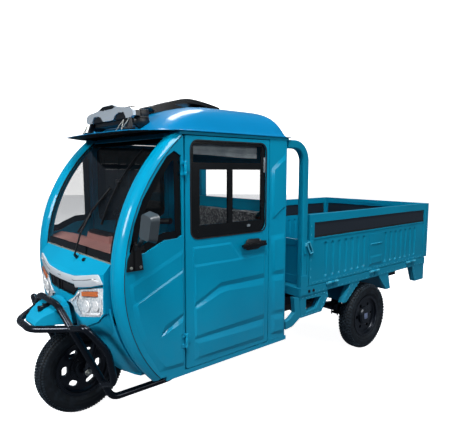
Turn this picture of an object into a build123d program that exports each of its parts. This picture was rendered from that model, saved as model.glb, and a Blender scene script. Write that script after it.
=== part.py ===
from build123d import *

import os
from math import cos, radians, sin, tan

os.makedirs("parts", exist_ok=True)

# An electric cargo tricycle: one steered front wheel, an enclosed cab and a drop-side bed.
# Millimetres. +X is the vehicle's left, +Y runs back, +Z is up. The origin is on the ground
# below the front axle, in the centre plane.

# ---- driving dimensions -------------------------------------------------------------
WHEELBASE = 2158.0
REAR_TRACK = 1076.0
TYRE_RADIUS = 265.0
TYRE_WIDTH = 105.0
RIM_RADIUS = 152.0
RIM_WIDTH = 84.0
RIM_WALL = 5.0

RAKE = 18.0
FORK_OFFSET = 40.0
FORK_SPREAD = 88.0
FORK_TUBE = 17.0
AXLE_RADIUS = 10.0
COLUMN_RADIUS = 20.0
RUNNING_GAP = 0.3
MOVING_GAP = 5.0

CAB_HALF = 587.0
CAB_REAR = 1177.0
CAB_BOTTOM = 315.0
FLOOR = 25.0
PANEL = 28.0
DOOR_FRONT = 362.0
DOOR_REAR = 1000.0
DOOR_TOP = 1628.0
RAIL_TOP = 1650.0

HOOP_LEVEL = 870.0
HOOP_FRONT = -5.0
HOOP_UPPER_RADIUS = 986.0
HOOP_LOWER_RADIUS = 800.0
HOOP_UPPER_ARC = 50.0
HOOP_LOWER_ARC = 41.5
HOOP_INNER = CAB_HALF - 147.0
GLASS = 6.0
GLASS_LOW_ANGLE = 5.8
GLASS_TOP_ANGLE = 49.0

TUNNEL_HALF = 225.0
TUNNEL_REAR = 335.0
TUNNEL_TOP = 680.0
SHEET = 8.0

NOSE_HALF = CAB_HALF - 135.0
NOSE_DRAWN = 452.0
NOSE_DEPTH = 104.0

ROOF_HALF = CAB_HALF + 13.0
ROOF_PLATE = 18.0
ROOF_TOP = 1856.0
ROOF_SKIN = 22.0
DOME_HALF = CAB_HALF - 2.0
DOME_FRONT = 250.0
SHOULDER_HALF = CAB_HALF - 112.0
SHOULDER_TOP = 1788.0
SHOULDER_BEND = 70.0
ROOF_REAR = 1190.0
VISOR_FRONT = 100.0

BED_HALF = CAB_HALF + 1.0
BED_FRONT = 1314.0
BED_REAR = 3095.0
BED_BOTTOM = 578.0
BED_TOP = 636.0
FLOOR_SHEET = 2.0
BOARD = 35.0
BOARD_TOP = 1140.0
BOARD_FRONT = 1407.0
HEADBOARD = 17.0
HEADBOARD_TOP = 962.0
FIELD_DEPTH = 4.0
STRIP_DEPTH = 12.0
STRIP_LOW = 975.0
STRIP_HIGH = 1083.0
HINGE_OFFSET = 12.0
HINGE_RADIUS = 9.0

FRAME_RAIL_X = 270.0
FRAME_RAIL = 50.0
FRAME_LOW = 255.0
FRAME_HIGH = 430.0
FRAME_DEPTH = 60.0
FRAME_FRONT = 345.0
FRAME_REAR = 3060.0

BUMPER_TUBE = 19.0

EMBOSS = 8.0
EMBOSS_LOW = 4.0
FLUTE_LONG = 258.0
FLUTE_WIDE = 46.0
FLUTE_TAPER = 22.0
FLUTE_PITCH = 81.0

# ---- worked-out places --------------------------------------------------------------
TRACK_HALF = REAR_TRACK / 2
LEAN = Vector(0, sin(radians(RAKE)), cos(radians(RAKE)))
COLUMN_FOOT = Vector(0, FORK_OFFSET, TYRE_RADIUS)
UPPER_CENTRE = HOOP_FRONT + HOOP_UPPER_RADIUS
LOWER_CENTRE = HOOP_FRONT + HOOP_LOWER_RADIUS
UPPER_AXIS = Axis((0, UPPER_CENTRE, HOOP_LEVEL), (-1, 0, 0))
LOWER_AXIS = Axis((0, LOWER_CENTRE, HOOP_LEVEL), (1, 0, 0))
PANEL_INSIDE = CAB_HALF - PANEL
SILL_TOP = CAB_BOTTOM + FLOOR
DOOR_BOTTOM = SILL_TOP + MOVING_GAP
QUARTER_REAR = DOOR_FRONT - 2 * MOVING_GAP
CORNER_FRONT = DOOR_REAR + MOVING_GAP
BOARD_BOTTOM = BED_TOP + MOVING_GAP
BOARD_REAR = BED_REAR - MOVING_GAP - 2.0
HINGE_X = BED_HALF + HINGE_OFFSET
HINGE_Z = BED_TOP - 4.0
TAIL_HINGE_Y = BOARD_REAR + MOVING_GAP + BOARD + HINGE_OFFSET
DOOR_HINGE = (CAB_HALF + 13.0, DOOR_FRONT - MOVING_GAP)
HINGE_SPANS = ((473.0, 551.0), (1417.0, 1495.0))
HINGE_LEAF = 27.0


# ---- shared shapes ------------------------------------------------------------------
def block(low, high, mode=Mode.ADD):
    """A box between two corners."""
    with Locations(tuple((a + b) / 2 for a, b in zip(low, high))):
        Box(*[b - a for a, b in zip(low, high)], mode=mode)


def side_slab(points, x_low, x_high, mode=Mode.ADD):
    """A slab between two lengthwise planes, from its outline of (y, z) points."""
    with BuildSketch(Plane.YZ.offset(x_low)) as outline:
        with BuildLine():
            Polyline(*points, close=True)
        make_face()
    extrude(outline.sketch, amount=x_high - x_low, mode=mode)


def tube(points, radius, bend=40.0, mode=Mode.ADD):
    """A round bar along straight runs joined by bends."""
    with BuildLine() as path:
        if len(points) > 2:
            FilletPolyline(*points, radius=bend)
        else:
            Line(*points)
    start = path.line @ 0
    with BuildSketch(Plane(origin=start, z_dir=path.line % 0)) as ring:
        Circle(radius)
    sweep(ring.sketch, path=path.line, mode=mode)


def rod(start, end, radius, mode=Mode.ADD):
    """A round bar between two points."""
    run = Vector(*end) - Vector(*start)
    with BuildSketch(Plane(origin=start, z_dir=run)) as ring:
        Circle(radius)
    extrude(ring.sketch, amount=run.length, mode=mode)


def pad(x, outer, inner, height, mode=Mode.ADD):
    """A pressed field on a side face: an outline at the face, and a smaller one at its height."""
    with BuildSketch(Plane.YZ.offset(x)) as foot:
        with BuildLine():
            Polyline(*outer, close=True)
        make_face()
    with BuildSketch(Plane.YZ.offset(x + height)) as crown:
        with BuildLine():
            Polyline(*inner, close=True)
        make_face()
    loft([foot.sketch, crown.sketch], ruled=True, mode=mode)


def flute(mouth, floor, centre):
    """A tapered pressing with round ends, from a board's face plane down to its floor plane."""
    with BuildSketch(mouth) as opening:
        with Locations(centre):
            SlotOverall(FLUTE_LONG, FLUTE_WIDE, rotation=90)
    with BuildSketch(floor) as bottom:
        with Locations(centre):
            SlotOverall(FLUTE_LONG - FLUTE_TAPER, FLUTE_WIDE - FLUTE_TAPER, rotation=90)
    loft([opening.sketch, bottom.sketch], ruled=True, mode=Mode.SUBTRACT)


def radial_plane(centre_y, angle):
    """A plane through a hoop's centre line: local x is across, local y is the radius."""
    turn = radians(angle)
    return Plane(
        origin=(0, centre_y, HOOP_LEVEL), x_dir=(1, 0, 0), z_dir=(0, -sin(turn), -cos(turn))
    )


def save(builder, name):
    """Labels a finished piece and writes its file."""
    builder.part.label = name
    export_step(builder.part, f"parts/{name}.step")


def mirrored(builder, name):
    """Writes the same piece for the other side."""
    with BuildPart() as other:
        mirror(builder.part, about=Plane.YZ)
    save(other, name)


# ---- wheels -------------------------------------------------------------------------
def wheel_axis(centre):
    return Axis(centre, (1, 0, 0))


def wheel_sketch_plane(centre):
    """Local x is along the axle, local y is the radius."""
    return Plane(origin=centre, x_dir=(1, 0, 0), z_dir=(0, 0, 1))


def make_tyre(centre, name):
    half = TYRE_WIDTH / 2
    bead = RIM_WIDTH / 2
    seat = RIM_RADIUS + RUNNING_GAP
    with BuildPart() as tyre:
        with BuildSketch(wheel_sketch_plane(centre)):
            with BuildLine():
                Polyline((-bead + RIM_WALL + 1, seat), (-bead + RIM_WALL + 1, seat + 14),
                         (-half, seat + 52))
                Line((-half, seat + 52), (-half, TYRE_RADIUS - 32))
                ThreePointArc((-half, TYRE_RADIUS - 32), (0, TYRE_RADIUS), (half, TYRE_RADIUS - 32))
                Polyline((half, TYRE_RADIUS - 32), (half, seat + 52),
                         (bead - RIM_WALL - 1, seat + 14), (bead - RIM_WALL - 1, seat),
                         (bead - RIM_WALL - 16, seat), (bead - RIM_WALL - 24, seat + 45),
                         (-bead + RIM_WALL + 24, seat + 45), (-bead + RIM_WALL + 16, seat),
                         (-bead + RIM_WALL + 1, seat))
            make_face()
        revolve(axis=wheel_axis(centre))
    save(tyre, name)


def rim_outline():
    """The rolled rim: a drop centre between two bead seats with turned-up flanges."""
    half = RIM_WIDTH / 2
    well = RIM_RADIUS - 14
    return [
        (-half, RIM_RADIUS + 13), (-half + RIM_WALL, RIM_RADIUS + 13),
        (-half + RIM_WALL, RIM_RADIUS), (-half + 22, RIM_RADIUS), (-half + 30, well),
        (half - 30, well), (half - 22, RIM_RADIUS), (half - RIM_WALL, RIM_RADIUS),
        (half - RIM_WALL, RIM_RADIUS + 13), (half, RIM_RADIUS + 13),
        (half, RIM_RADIUS - RIM_WALL), (half - 20, RIM_RADIUS - RIM_WALL),
        (half - 28, well - RIM_WALL), (-half + 28, well - RIM_WALL),
        (-half + 20, RIM_RADIUS - RIM_WALL), (-half, RIM_RADIUS - RIM_WALL),
    ]


front_centre = (0, 0, TYRE_RADIUS)
rear_centre = (TRACK_HALF, WHEELBASE, TYRE_RADIUS)
WELL_INSIDE = RIM_RADIUS - 14 - RIM_WALL

make_tyre(front_centre, "front_tyre")
make_tyre(rear_centre, "rear_tyre_left")
make_tyre((-TRACK_HALF, WHEELBASE, TYRE_RADIUS), "rear_tyre_right")

# Cast front wheel: six broad spokes with windows between them, and a brake drum hub.
FRONT_WEB = 26.0
FRONT_DRUM_RADIUS = 72.0
FRONT_DRUM_WIDTH = 108.0
WINDOWS = 6
with BuildPart() as front_rim:
    with BuildSketch(wheel_sketch_plane(front_centre)):
        with BuildLine():
            Polyline(*rim_outline(), close=True)
        make_face()
    revolve(axis=wheel_axis(front_centre))
    with BuildSketch(Plane(origin=(-FRONT_WEB / 2, 0, TYRE_RADIUS), x_dir=(0, 1, 0), z_dir=(1, 0, 0))):
        Circle(WELL_INSIDE + 2)
        with PolarLocations((FRONT_DRUM_RADIUS + WELL_INSIDE) / 2, WINDOWS):
            SlotOverall(58, 36, rotation=90, mode=Mode.SUBTRACT)
    extrude(amount=FRONT_WEB)
    rod((-FRONT_DRUM_WIDTH / 2, 0, TYRE_RADIUS), (FRONT_DRUM_WIDTH / 2, 0, TYRE_RADIUS), FRONT_DRUM_RADIUS - 20)
    rod((-FRONT_WEB, 0, TYRE_RADIUS), (FRONT_WEB, 0, TYRE_RADIUS), FRONT_DRUM_RADIUS)
    rod((-FRONT_DRUM_WIDTH, 0, TYRE_RADIUS), (FRONT_DRUM_WIDTH, 0, TYRE_RADIUS),
        AXLE_RADIUS + RUNNING_GAP, mode=Mode.SUBTRACT)
save(front_rim, "front_rim")

# Pressed steel rear wheel: a dished disc with hand holes, and a hub cap.
REAR_STUB = 18.0
DISC_AT = 8.0
DISC = 10.0
HUB_CAP_RADIUS = 62.0
HUB_CAP_OUT = 30.0
HAND_HOLES = 6
with BuildPart() as rear_rim_left:
    with BuildSketch(wheel_sketch_plane(rear_centre)):
        with BuildLine():
            Polyline(*rim_outline(), close=True)
        make_face()
    revolve(axis=wheel_axis(rear_centre))
    with BuildSketch(
        Plane(origin=(TRACK_HALF + DISC_AT, WHEELBASE, TYRE_RADIUS), x_dir=(0, 1, 0), z_dir=(1, 0, 0))
    ):
        Circle(WELL_INSIDE + 2)
        with PolarLocations(98, HAND_HOLES):
            Circle(14, mode=Mode.SUBTRACT)
    extrude(amount=DISC)
    rod((TRACK_HALF - 30, WHEELBASE, TYRE_RADIUS),
        (TRACK_HALF + DISC_AT + HUB_CAP_OUT, WHEELBASE, TYRE_RADIUS), HUB_CAP_RADIUS)
    rod((TRACK_HALF - 31, WHEELBASE, TYRE_RADIUS), (TRACK_HALF + 12, WHEELBASE, TYRE_RADIUS),
        REAR_STUB + RUNNING_GAP, mode=Mode.SUBTRACT)
save(rear_rim_left, "rear_rim_left")
mirrored(rear_rim_left, "rear_rim_right")

# ---- steering -----------------------------------------------------------------------
LEG_LENGTH = 350.0
BRIDGE_FROM = 312.0
BRIDGE = 34.0
COLUMN_LENGTH = 855.0
with BuildPart() as front_fork:
    for side in (-1, 1):
        foot = Vector(side * FORK_SPREAD, 0, TYRE_RADIUS) - LEAN * 28
        rod(foot, foot + LEAN * (LEG_LENGTH + 28), FORK_TUBE)
    bridge_plane = Plane(
        origin=COLUMN_FOOT + LEAN * BRIDGE_FROM, x_dir=(1, 0, 0), z_dir=LEAN
    )
    with BuildSketch(bridge_plane):
        with Locations((0, -FORK_OFFSET * cos(radians(RAKE)) / 2)):
            RectangleRounded(2 * (FORK_SPREAD + FORK_TUBE + 4), FORK_OFFSET + 2 * FORK_TUBE + 12, 20)
    extrude(amount=BRIDGE)
    rod(COLUMN_FOOT + LEAN * BRIDGE_FROM, COLUMN_FOOT + LEAN * COLUMN_LENGTH, COLUMN_RADIUS)
    rod((-FORK_SPREAD - 24, 0, TYRE_RADIUS), (FORK_SPREAD + 24, 0, TYRE_RADIUS), AXLE_RADIUS)
save(front_fork, "front_fork")

BAR_RADIUS = 11.0
GRIP_RADIUS = 17.0
GRIP_LENGTH = 120.0
BAR_HALF = 350.0
bar_level = COLUMN_FOOT + LEAN * (COLUMN_LENGTH + 18)
with BuildPart() as handlebar:
    route = [
        (-BAR_HALF, bar_level.Y + 115, bar_level.Z + 52),
        (-BAR_HALF + 150, bar_level.Y + 62, bar_level.Z + 40),
        (-100, bar_level.Y, bar_level.Z),
        (100, bar_level.Y, bar_level.Z),
        (BAR_HALF - 150, bar_level.Y + 62, bar_level.Z + 40),
        (BAR_HALF, bar_level.Y + 115, bar_level.Z + 52),
    ]
    tube(route, BAR_RADIUS, bend=35)
    for side in (-1, 1):
        end = Vector(side * BAR_HALF, bar_level.Y + 115, bar_level.Z + 52)
        knee = Vector(side * (BAR_HALF - 150), bar_level.Y + 62, bar_level.Z + 40)
        back = (knee - end).normalized()
        rod(end, end + back * GRIP_LENGTH, GRIP_RADIUS)
    rod(COLUMN_FOOT + LEAN * COLUMN_LENGTH, COLUMN_FOOT + LEAN * (COLUMN_LENGTH + 36), 30)
save(handlebar, "handlebar")

# ---- chassis ------------------------------------------------------------------------
CROSS = 50.0
HEAD_FROM = 450.0
HEAD_TO = 640.0
HEAD_RADIUS = 30.0
SPRING_HALF = 368.0
EYE_Z = 400.0
EYE_RADIUS = 14.0
crossmembers = (1400.0, 1800.0, 2480.0, FRAME_REAR - CROSS)
with BuildPart() as chassis_frame:
    side_slab(
        [(FRAME_FRONT, FRAME_LOW), (CAB_REAR + 35, FRAME_LOW), (CAB_REAR + 180, FRAME_HIGH),
         (FRAME_REAR, FRAME_HIGH), (FRAME_REAR, FRAME_HIGH + FRAME_DEPTH),
         (CAB_REAR + 150, FRAME_HIGH + FRAME_DEPTH), (CAB_REAR + 5, FRAME_LOW + FRAME_DEPTH),
         (FRAME_FRONT, FRAME_LOW + FRAME_DEPTH)],
        FRAME_RAIL_X, FRAME_RAIL_X + FRAME_RAIL,
    )
    for y in (WHEELBASE - SPRING_HALF, WHEELBASE + SPRING_HALF):
        block((FRAME_RAIL_X, y - 16, EYE_Z + EYE_RADIUS + RUNNING_GAP),
              (FRAME_RAIL_X + FRAME_RAIL, y + 16, FRAME_HIGH))
    mirror(about=Plane.YZ)
    for y in crossmembers:
        block((-FRAME_RAIL_X, y, FRAME_HIGH), (FRAME_RAIL_X, y + CROSS, FRAME_HIGH + FRAME_DEPTH))
    for y in (FRAME_FRONT, 1060.0):
        block((-FRAME_RAIL_X, y, FRAME_LOW), (FRAME_RAIL_X, y + CROSS, FRAME_LOW + FRAME_DEPTH))
    block((-30, FRAME_FRONT, FRAME_LOW), (30, FRAME_FRONT + CROSS, 760))
    head_y = COLUMN_FOOT.Y + (720 - TYRE_RADIUS) * tan(radians(RAKE))
    block((-30, head_y, 690), (30, FRAME_FRONT + CROSS, 760))
    rod(COLUMN_FOOT + LEAN * HEAD_FROM, COLUMN_FOOT + LEAN * HEAD_TO, HEAD_RADIUS)
    rod(COLUMN_FOOT + LEAN * (HEAD_FROM - 30), COLUMN_FOOT + LEAN * (HEAD_TO + 1),
        COLUMN_RADIUS + RUNNING_GAP, mode=Mode.SUBTRACT)
save(chassis_frame, "chassis_frame")

# Tubular guard round the front wheel and the nose corners.
with BuildPart() as bumper_guard:
    JOINT = (273, -156, 609)
    tube([(-273, -156, 609), (-101, -314, 595), (101, -314, 595), JOINT], BUMPER_TUBE, bend=55)
    tube([(-273, -156, 609), (-140, -176, 712), (140, -176, 712), JOINT], BUMPER_TUBE, bend=45)
    for side in (-1, 1):
        tube([(side * 273, -156, 609), (side * 405, -135, 645), (side * 432, -40, 520),
              (side * 432, 0, 390), (side * 432, 0, 322), (side * 332, -18, 285)],
             BUMPER_TUBE, bend=32)
        tube([(side * 273, -156, 609), (side * 343, 32, 192), (side * 345, 420, 192),
              (side * 345, 420, FRAME_LOW - 8)], BUMPER_TUBE, bend=50)
        low = min(side * 290, side * 365)
        block((low, 388, FRAME_LOW - 16), (low + 75, 452, FRAME_LOW - RUNNING_GAP))
save(bumper_guard, "bumper_guard")

AXLE_TUBE = 30.0
SPRING_SEAT = 308.0
HUB_FROM = 75.0
with BuildPart() as rear_axle:
    rod((-TRACK_HALF + HUB_FROM, WHEELBASE, TYRE_RADIUS), (TRACK_HALF - HUB_FROM, WHEELBASE, TYRE_RADIUS), AXLE_TUBE)
    rod((-TRACK_HALF + 38, WHEELBASE, TYRE_RADIUS), (-TRACK_HALF + 76, WHEELBASE, TYRE_RADIUS), 80)
    rod((TRACK_HALF - 76, WHEELBASE, TYRE_RADIUS), (TRACK_HALF - 38, WHEELBASE, TYRE_RADIUS), 80)
    rod((-TRACK_HALF - 8, WHEELBASE, TYRE_RADIUS), (TRACK_HALF + 8, WHEELBASE, TYRE_RADIUS), REAR_STUB)
    with Locations((0, WHEELBASE, TYRE_RADIUS)):
        Sphere(78)
    rod((0, WHEELBASE, TYRE_RADIUS), (0, WHEELBASE - 250, TYRE_RADIUS + 12), 62)
    for side in (-1, 1):
        low = min(side * (FRAME_RAIL_X + 4), side * (FRAME_RAIL_X + FRAME_RAIL - 4))
        block((low, WHEELBASE - 28, TYRE_RADIUS), (low + FRAME_RAIL - 8, WHEELBASE + 28, SPRING_SEAT - RUNNING_GAP))
save(rear_axle, "rear_axle")

# Three-leaf springs: arcs about one centre, each leaf shorter than the one above it, wrapped
# round an eye at both ends and clamped over the axle by two U-bolts and a pair of plates.
LEAF = 8.0
LEAF_SAG = 72.0
LEAF_HALVES = (SPRING_HALF, 270.0, 180.0)
LEAF_RADIUS = (SPRING_HALF ** 2 + LEAF_SAG ** 2) / (2 * LEAF_SAG)
LEAF_CENTRE = EYE_Z - LEAF_SAG + LEAF_RADIUS
CLAMP_HALF = 44.0
CLAMP_PLATE = 9.0
BOLT = 5.0


def leaf_point(radius, along):
    """A point on a leaf's arc, at a distance along from the axle."""
    return (WHEELBASE + along, LEAF_CENTRE - (radius ** 2 - along ** 2) ** 0.5)


with BuildPart() as leaf_springs:
    for index, half in enumerate(LEAF_HALVES):
        top = LEAF_RADIUS + (index - 0.5) * LEAF
        under = top + LEAF
        with BuildSketch(Plane.YZ.offset(FRAME_RAIL_X + 2)) as leaf:
            with BuildLine():
                ThreePointArc(leaf_point(top, -half), leaf_point(top, 0), leaf_point(top, half))
                Line(leaf_point(top, half), leaf_point(under, half))
                ThreePointArc(leaf_point(under, half), leaf_point(under, 0), leaf_point(under, -half))
                Line(leaf_point(under, -half), leaf_point(top, -half))
            make_face()
        extrude(leaf.sketch, amount=FRAME_RAIL - 4)
    for y in (WHEELBASE - SPRING_HALF, WHEELBASE + SPRING_HALF):
        rod((FRAME_RAIL_X + 2, y, EYE_Z), (FRAME_RAIL_X + FRAME_RAIL - 2, y, EYE_Z), EYE_RADIUS)
    plate_level = LEAF_CENTRE - LEAF_RADIUS + LEAF / 2 - 1
    clamp_low = TYRE_RADIUS - AXLE_TUBE - RUNNING_GAP - CLAMP_PLATE
    block((FRAME_RAIL_X - 10, WHEELBASE - CLAMP_HALF, plate_level),
          (FRAME_RAIL_X + FRAME_RAIL + 10, WHEELBASE + CLAMP_HALF, plate_level + CLAMP_PLATE))
    block((FRAME_RAIL_X - 10, WHEELBASE - CLAMP_HALF, clamp_low),
          (FRAME_RAIL_X + FRAME_RAIL + 10, WHEELBASE + CLAMP_HALF, clamp_low + CLAMP_PLATE))
    for x in (FRAME_RAIL_X - BOLT, FRAME_RAIL_X + FRAME_RAIL + BOLT - 1):
        for y in (WHEELBASE - AXLE_TUBE - BOLT - 2, WHEELBASE + AXLE_TUBE + BOLT + 2):
            rod((x, y, clamp_low - 12), (x, y, plate_level + CLAMP_PLATE + 8), BOLT)
    mirror(about=Plane.YZ)
save(leaf_springs, "leaf_springs")

with BuildPart() as battery_pack:
    block((-255, crossmembers[0] + CROSS + RUNNING_GAP, 350),
          (255, crossmembers[1] - RUNNING_GAP, 560))
save(battery_pack, "battery_pack")

# ---- cab shell ----------------------------------------------------------------------
def hoop_outline(radius):
    """Half of the front hoop's section, drawn about its groove line at a radius."""
    edge = radius + RUNNING_GAP
    ThreePointArc((CAB_HALF, edge), (CAB_HALF - 24, radius + 25), (CAB_HALF - 70, radius + 31))
    ThreePointArc((CAB_HALF - 70, radius + 31), (CAB_HALF - 104, radius + 26), (CAB_HALF - 122, radius + 12))
    Polyline((CAB_HALF - 122, radius + 12), (CAB_HALF - 122, radius), (HOOP_INNER, radius),
             (HOOP_INNER, radius - 12), (CAB_HALF - 87, radius - 30), (CAB_HALF - 34, radius - 30),
             (CAB_HALF - 34, edge), (CAB_HALF, edge))


with BuildPart() as cab_frame:
    with BuildSketch(radial_plane(UPPER_CENTRE, 0)):
        with BuildLine():
            hoop_outline(HOOP_UPPER_RADIUS)
        make_face()
    revolve(axis=UPPER_AXIS, revolution_arc=HOOP_UPPER_ARC)
    with BuildSketch(radial_plane(LOWER_CENTRE, 0)):
        with BuildLine():
            hoop_outline(HOOP_LOWER_RADIUS)
        make_face()
    revolve(axis=LOWER_AXIS, revolution_arc=HOOP_LOWER_ARC)
    block((CAB_HALF - 34, 330, DOOR_TOP + MOVING_GAP), (CAB_HALF, CAB_REAR, RAIL_TOP))
    mirror(about=Plane.YZ)
    with BuildSketch(radial_plane(UPPER_CENTRE, GLASS_TOP_ANGLE + 0.3)):
        with Locations((0, HOOP_UPPER_RADIUS - 3)):
            Rectangle(2 * HOOP_INNER + 60, 24)
    revolve(axis=UPPER_AXIS, revolution_arc=3)
    block((-CAB_HALF, CAB_REAR - PANEL, DOOR_TOP + MOVING_GAP), (CAB_HALF, CAB_REAR, RAIL_TOP))
    block((-CAB_HALF, 0, RAIL_TOP), (CAB_HALF, CAB_REAR, RAIL_TOP + 60), mode=Mode.SUBTRACT)
save(cab_frame, "cab_frame")

QUARTER_OPENING = [
    (294, 1545), (336, 1522), (342, 1098), (315, 1083), (236, 1080), (172, 1054), (116, 1027),
    (40, 1021), (24, 1044), (54, 1178), (104, 1300), (178, 1418), (248, 1515),
]
with BuildPart() as quarter_panels:
    with BuildSketch(Plane.YZ.offset(PANEL_INSIDE)):
        top_turn = radians(HOOP_UPPER_ARC)
        mid_turn = radians(HOOP_UPPER_ARC / 2)
        low_turn = radians(HOOP_LOWER_ARC)
        half_low = radians(HOOP_LOWER_ARC / 2)
        top = (UPPER_CENTRE - HOOP_UPPER_RADIUS * cos(top_turn), HOOP_LEVEL + HOOP_UPPER_RADIUS * sin(top_turn))
        mid = (UPPER_CENTRE - HOOP_UPPER_RADIUS * cos(mid_turn), HOOP_LEVEL + HOOP_UPPER_RADIUS * sin(mid_turn))
        low = (LOWER_CENTRE - HOOP_LOWER_RADIUS * cos(low_turn), HOOP_LEVEL - HOOP_LOWER_RADIUS * sin(low_turn))
        lower_mid = (LOWER_CENTRE - HOOP_LOWER_RADIUS * cos(half_low),
                     HOOP_LEVEL - HOOP_LOWER_RADIUS * sin(half_low))
        with BuildLine():
            ThreePointArc((HOOP_FRONT, HOOP_LEVEL), mid, top)
            Line(top, (QUARTER_REAR, top[1]))
            Line((QUARTER_REAR, top[1]), (QUARTER_REAR, SILL_TOP))
            Line((QUARTER_REAR, SILL_TOP), (low[0], SILL_TOP))
            Line((low[0], SILL_TOP), low)
            ThreePointArc(low, lower_mid, (HOOP_FRONT, HOOP_LEVEL))
        make_face()
        with BuildLine():
            Polyline(*QUARTER_OPENING, close=True)
        make_face(mode=Mode.SUBTRACT)
    extrude(amount=PANEL)
    pad(CAB_HALF, [(19, 875), (346, 1021), (346, 900), (45, 768), (30, 790)],
        [(42, 864), (338, 995), (338, 904), (60, 778), (47, 796)], EMBOSS_LOW)
    pad(CAB_HALF, [(45, 784), (346, 923), (346, 369), (187, 377), (160, 430), (112, 510), (75, 600),
                   (48, 690), (36, 766)],
        [(68, 773), (336, 896), (336, 394), (226, 397), (186, 444), (140, 520), (103, 606),
         (76, 694), (62, 766)], EMBOSS)
    pad(CAB_HALF + EMBOSS, [(190, 566), (225, 627), (350, 677), (350, 627)],
        [(204, 576), (205, 579), (350, 661), (350, 656)], -EMBOSS, Mode.SUBTRACT)
    for low, high in HINGE_SPANS:
        block((CAB_HALF, DOOR_HINGE[1] - HINGE_LEAF - 4, low - 4), (CAB_HALF + 20, QUARTER_REAR + 1, high + 4),
              mode=Mode.SUBTRACT)
    mirror(about=Plane.YZ)
save(quarter_panels, "quarter_panels")

with BuildPart() as quarter_windows:
    with BuildSketch(Plane.YZ.offset(PANEL_INSIDE + 9)):
        with BuildLine():
            Polyline(*QUARTER_OPENING, close=True)
        make_face()
        offset(amount=-RUNNING_GAP, kind=Kind.INTERSECTION)
    extrude(amount=GLASS)
    mirror(about=Plane.YZ)
save(quarter_windows, "quarter_windows")

CORNER_WRAP = 60.0
with BuildPart() as corner_panels:
    with BuildSketch(Plane.XY.offset(SILL_TOP)):
        with BuildLine():
            Polyline((PANEL_INSIDE, CORNER_FRONT), (CAB_HALF, CORNER_FRONT), (CAB_HALF, CAB_REAR - 25))
            JernArc((CAB_HALF, CAB_REAR - 25), (0, 1), 25, 90)
            Polyline((CAB_HALF - 25, CAB_REAR), (CAB_HALF - CORNER_WRAP, CAB_REAR),
                     (CAB_HALF - CORNER_WRAP, CAB_REAR - PANEL), (PANEL_INSIDE, CAB_REAR - PANEL),
                     (PANEL_INSIDE, CORNER_FRONT))
        make_face()
    extrude(amount=DOOR_TOP + MOVING_GAP - SILL_TOP)
    pad(CAB_HALF, [(1021, 1454), (1146, 1542), (1146, 1205), (1030, 1139)],
        [(1043, 1446), (1138, 1511), (1138, 1214), (1046, 1153)], EMBOSS)
    pad(CAB_HALF, [(1022, 1031), (1146, 1029), (1146, 773), (1033, 779)],
        [(1049, 1001), (1138, 998), (1138, 802), (1060, 802)], EMBOSS)
    pad(CAB_HALF, [(1030, 771), (1146, 767), (1146, 510), (1035, 520)],
        [(1054, 734), (1138, 728), (1138, 533), (1065, 540)], EMBOSS)
    pad(CAB_HALF, [(1032, 508), (1146, 500), (1146, 369), (1025, 382)],
        [(1059, 475), (1138, 470), (1138, 394), (1060, 396)], EMBOSS)
    mirror(about=Plane.YZ)
save(corner_panels, "corner_panels")

REAR_WINDOW_HALF = CAB_HALF - 227.0
REAR_WINDOW_LOW = 1240.0
REAR_WINDOW_HIGH = 1446.0
with BuildPart() as cab_rear_wall:
    edge = CAB_HALF - CORNER_WRAP
    block((-edge, CAB_REAR - PANEL, SILL_TOP), (edge, CAB_REAR, DOOR_TOP + MOVING_GAP))
    block((-REAR_WINDOW_HALF, CAB_REAR - 2 * PANEL, REAR_WINDOW_LOW),
          (REAR_WINDOW_HALF, CAB_REAR + PANEL, REAR_WINDOW_HIGH), mode=Mode.SUBTRACT)
save(cab_rear_wall, "cab_rear_wall")

with BuildPart() as rear_window:
    block((-REAR_WINDOW_HALF + RUNNING_GAP, CAB_REAR - 17, REAR_WINDOW_LOW + RUNNING_GAP),
          (REAR_WINDOW_HALF - RUNNING_GAP, CAB_REAR - 11, REAR_WINDOW_HIGH - RUNNING_GAP))
save(rear_window, "rear_window")

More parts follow.
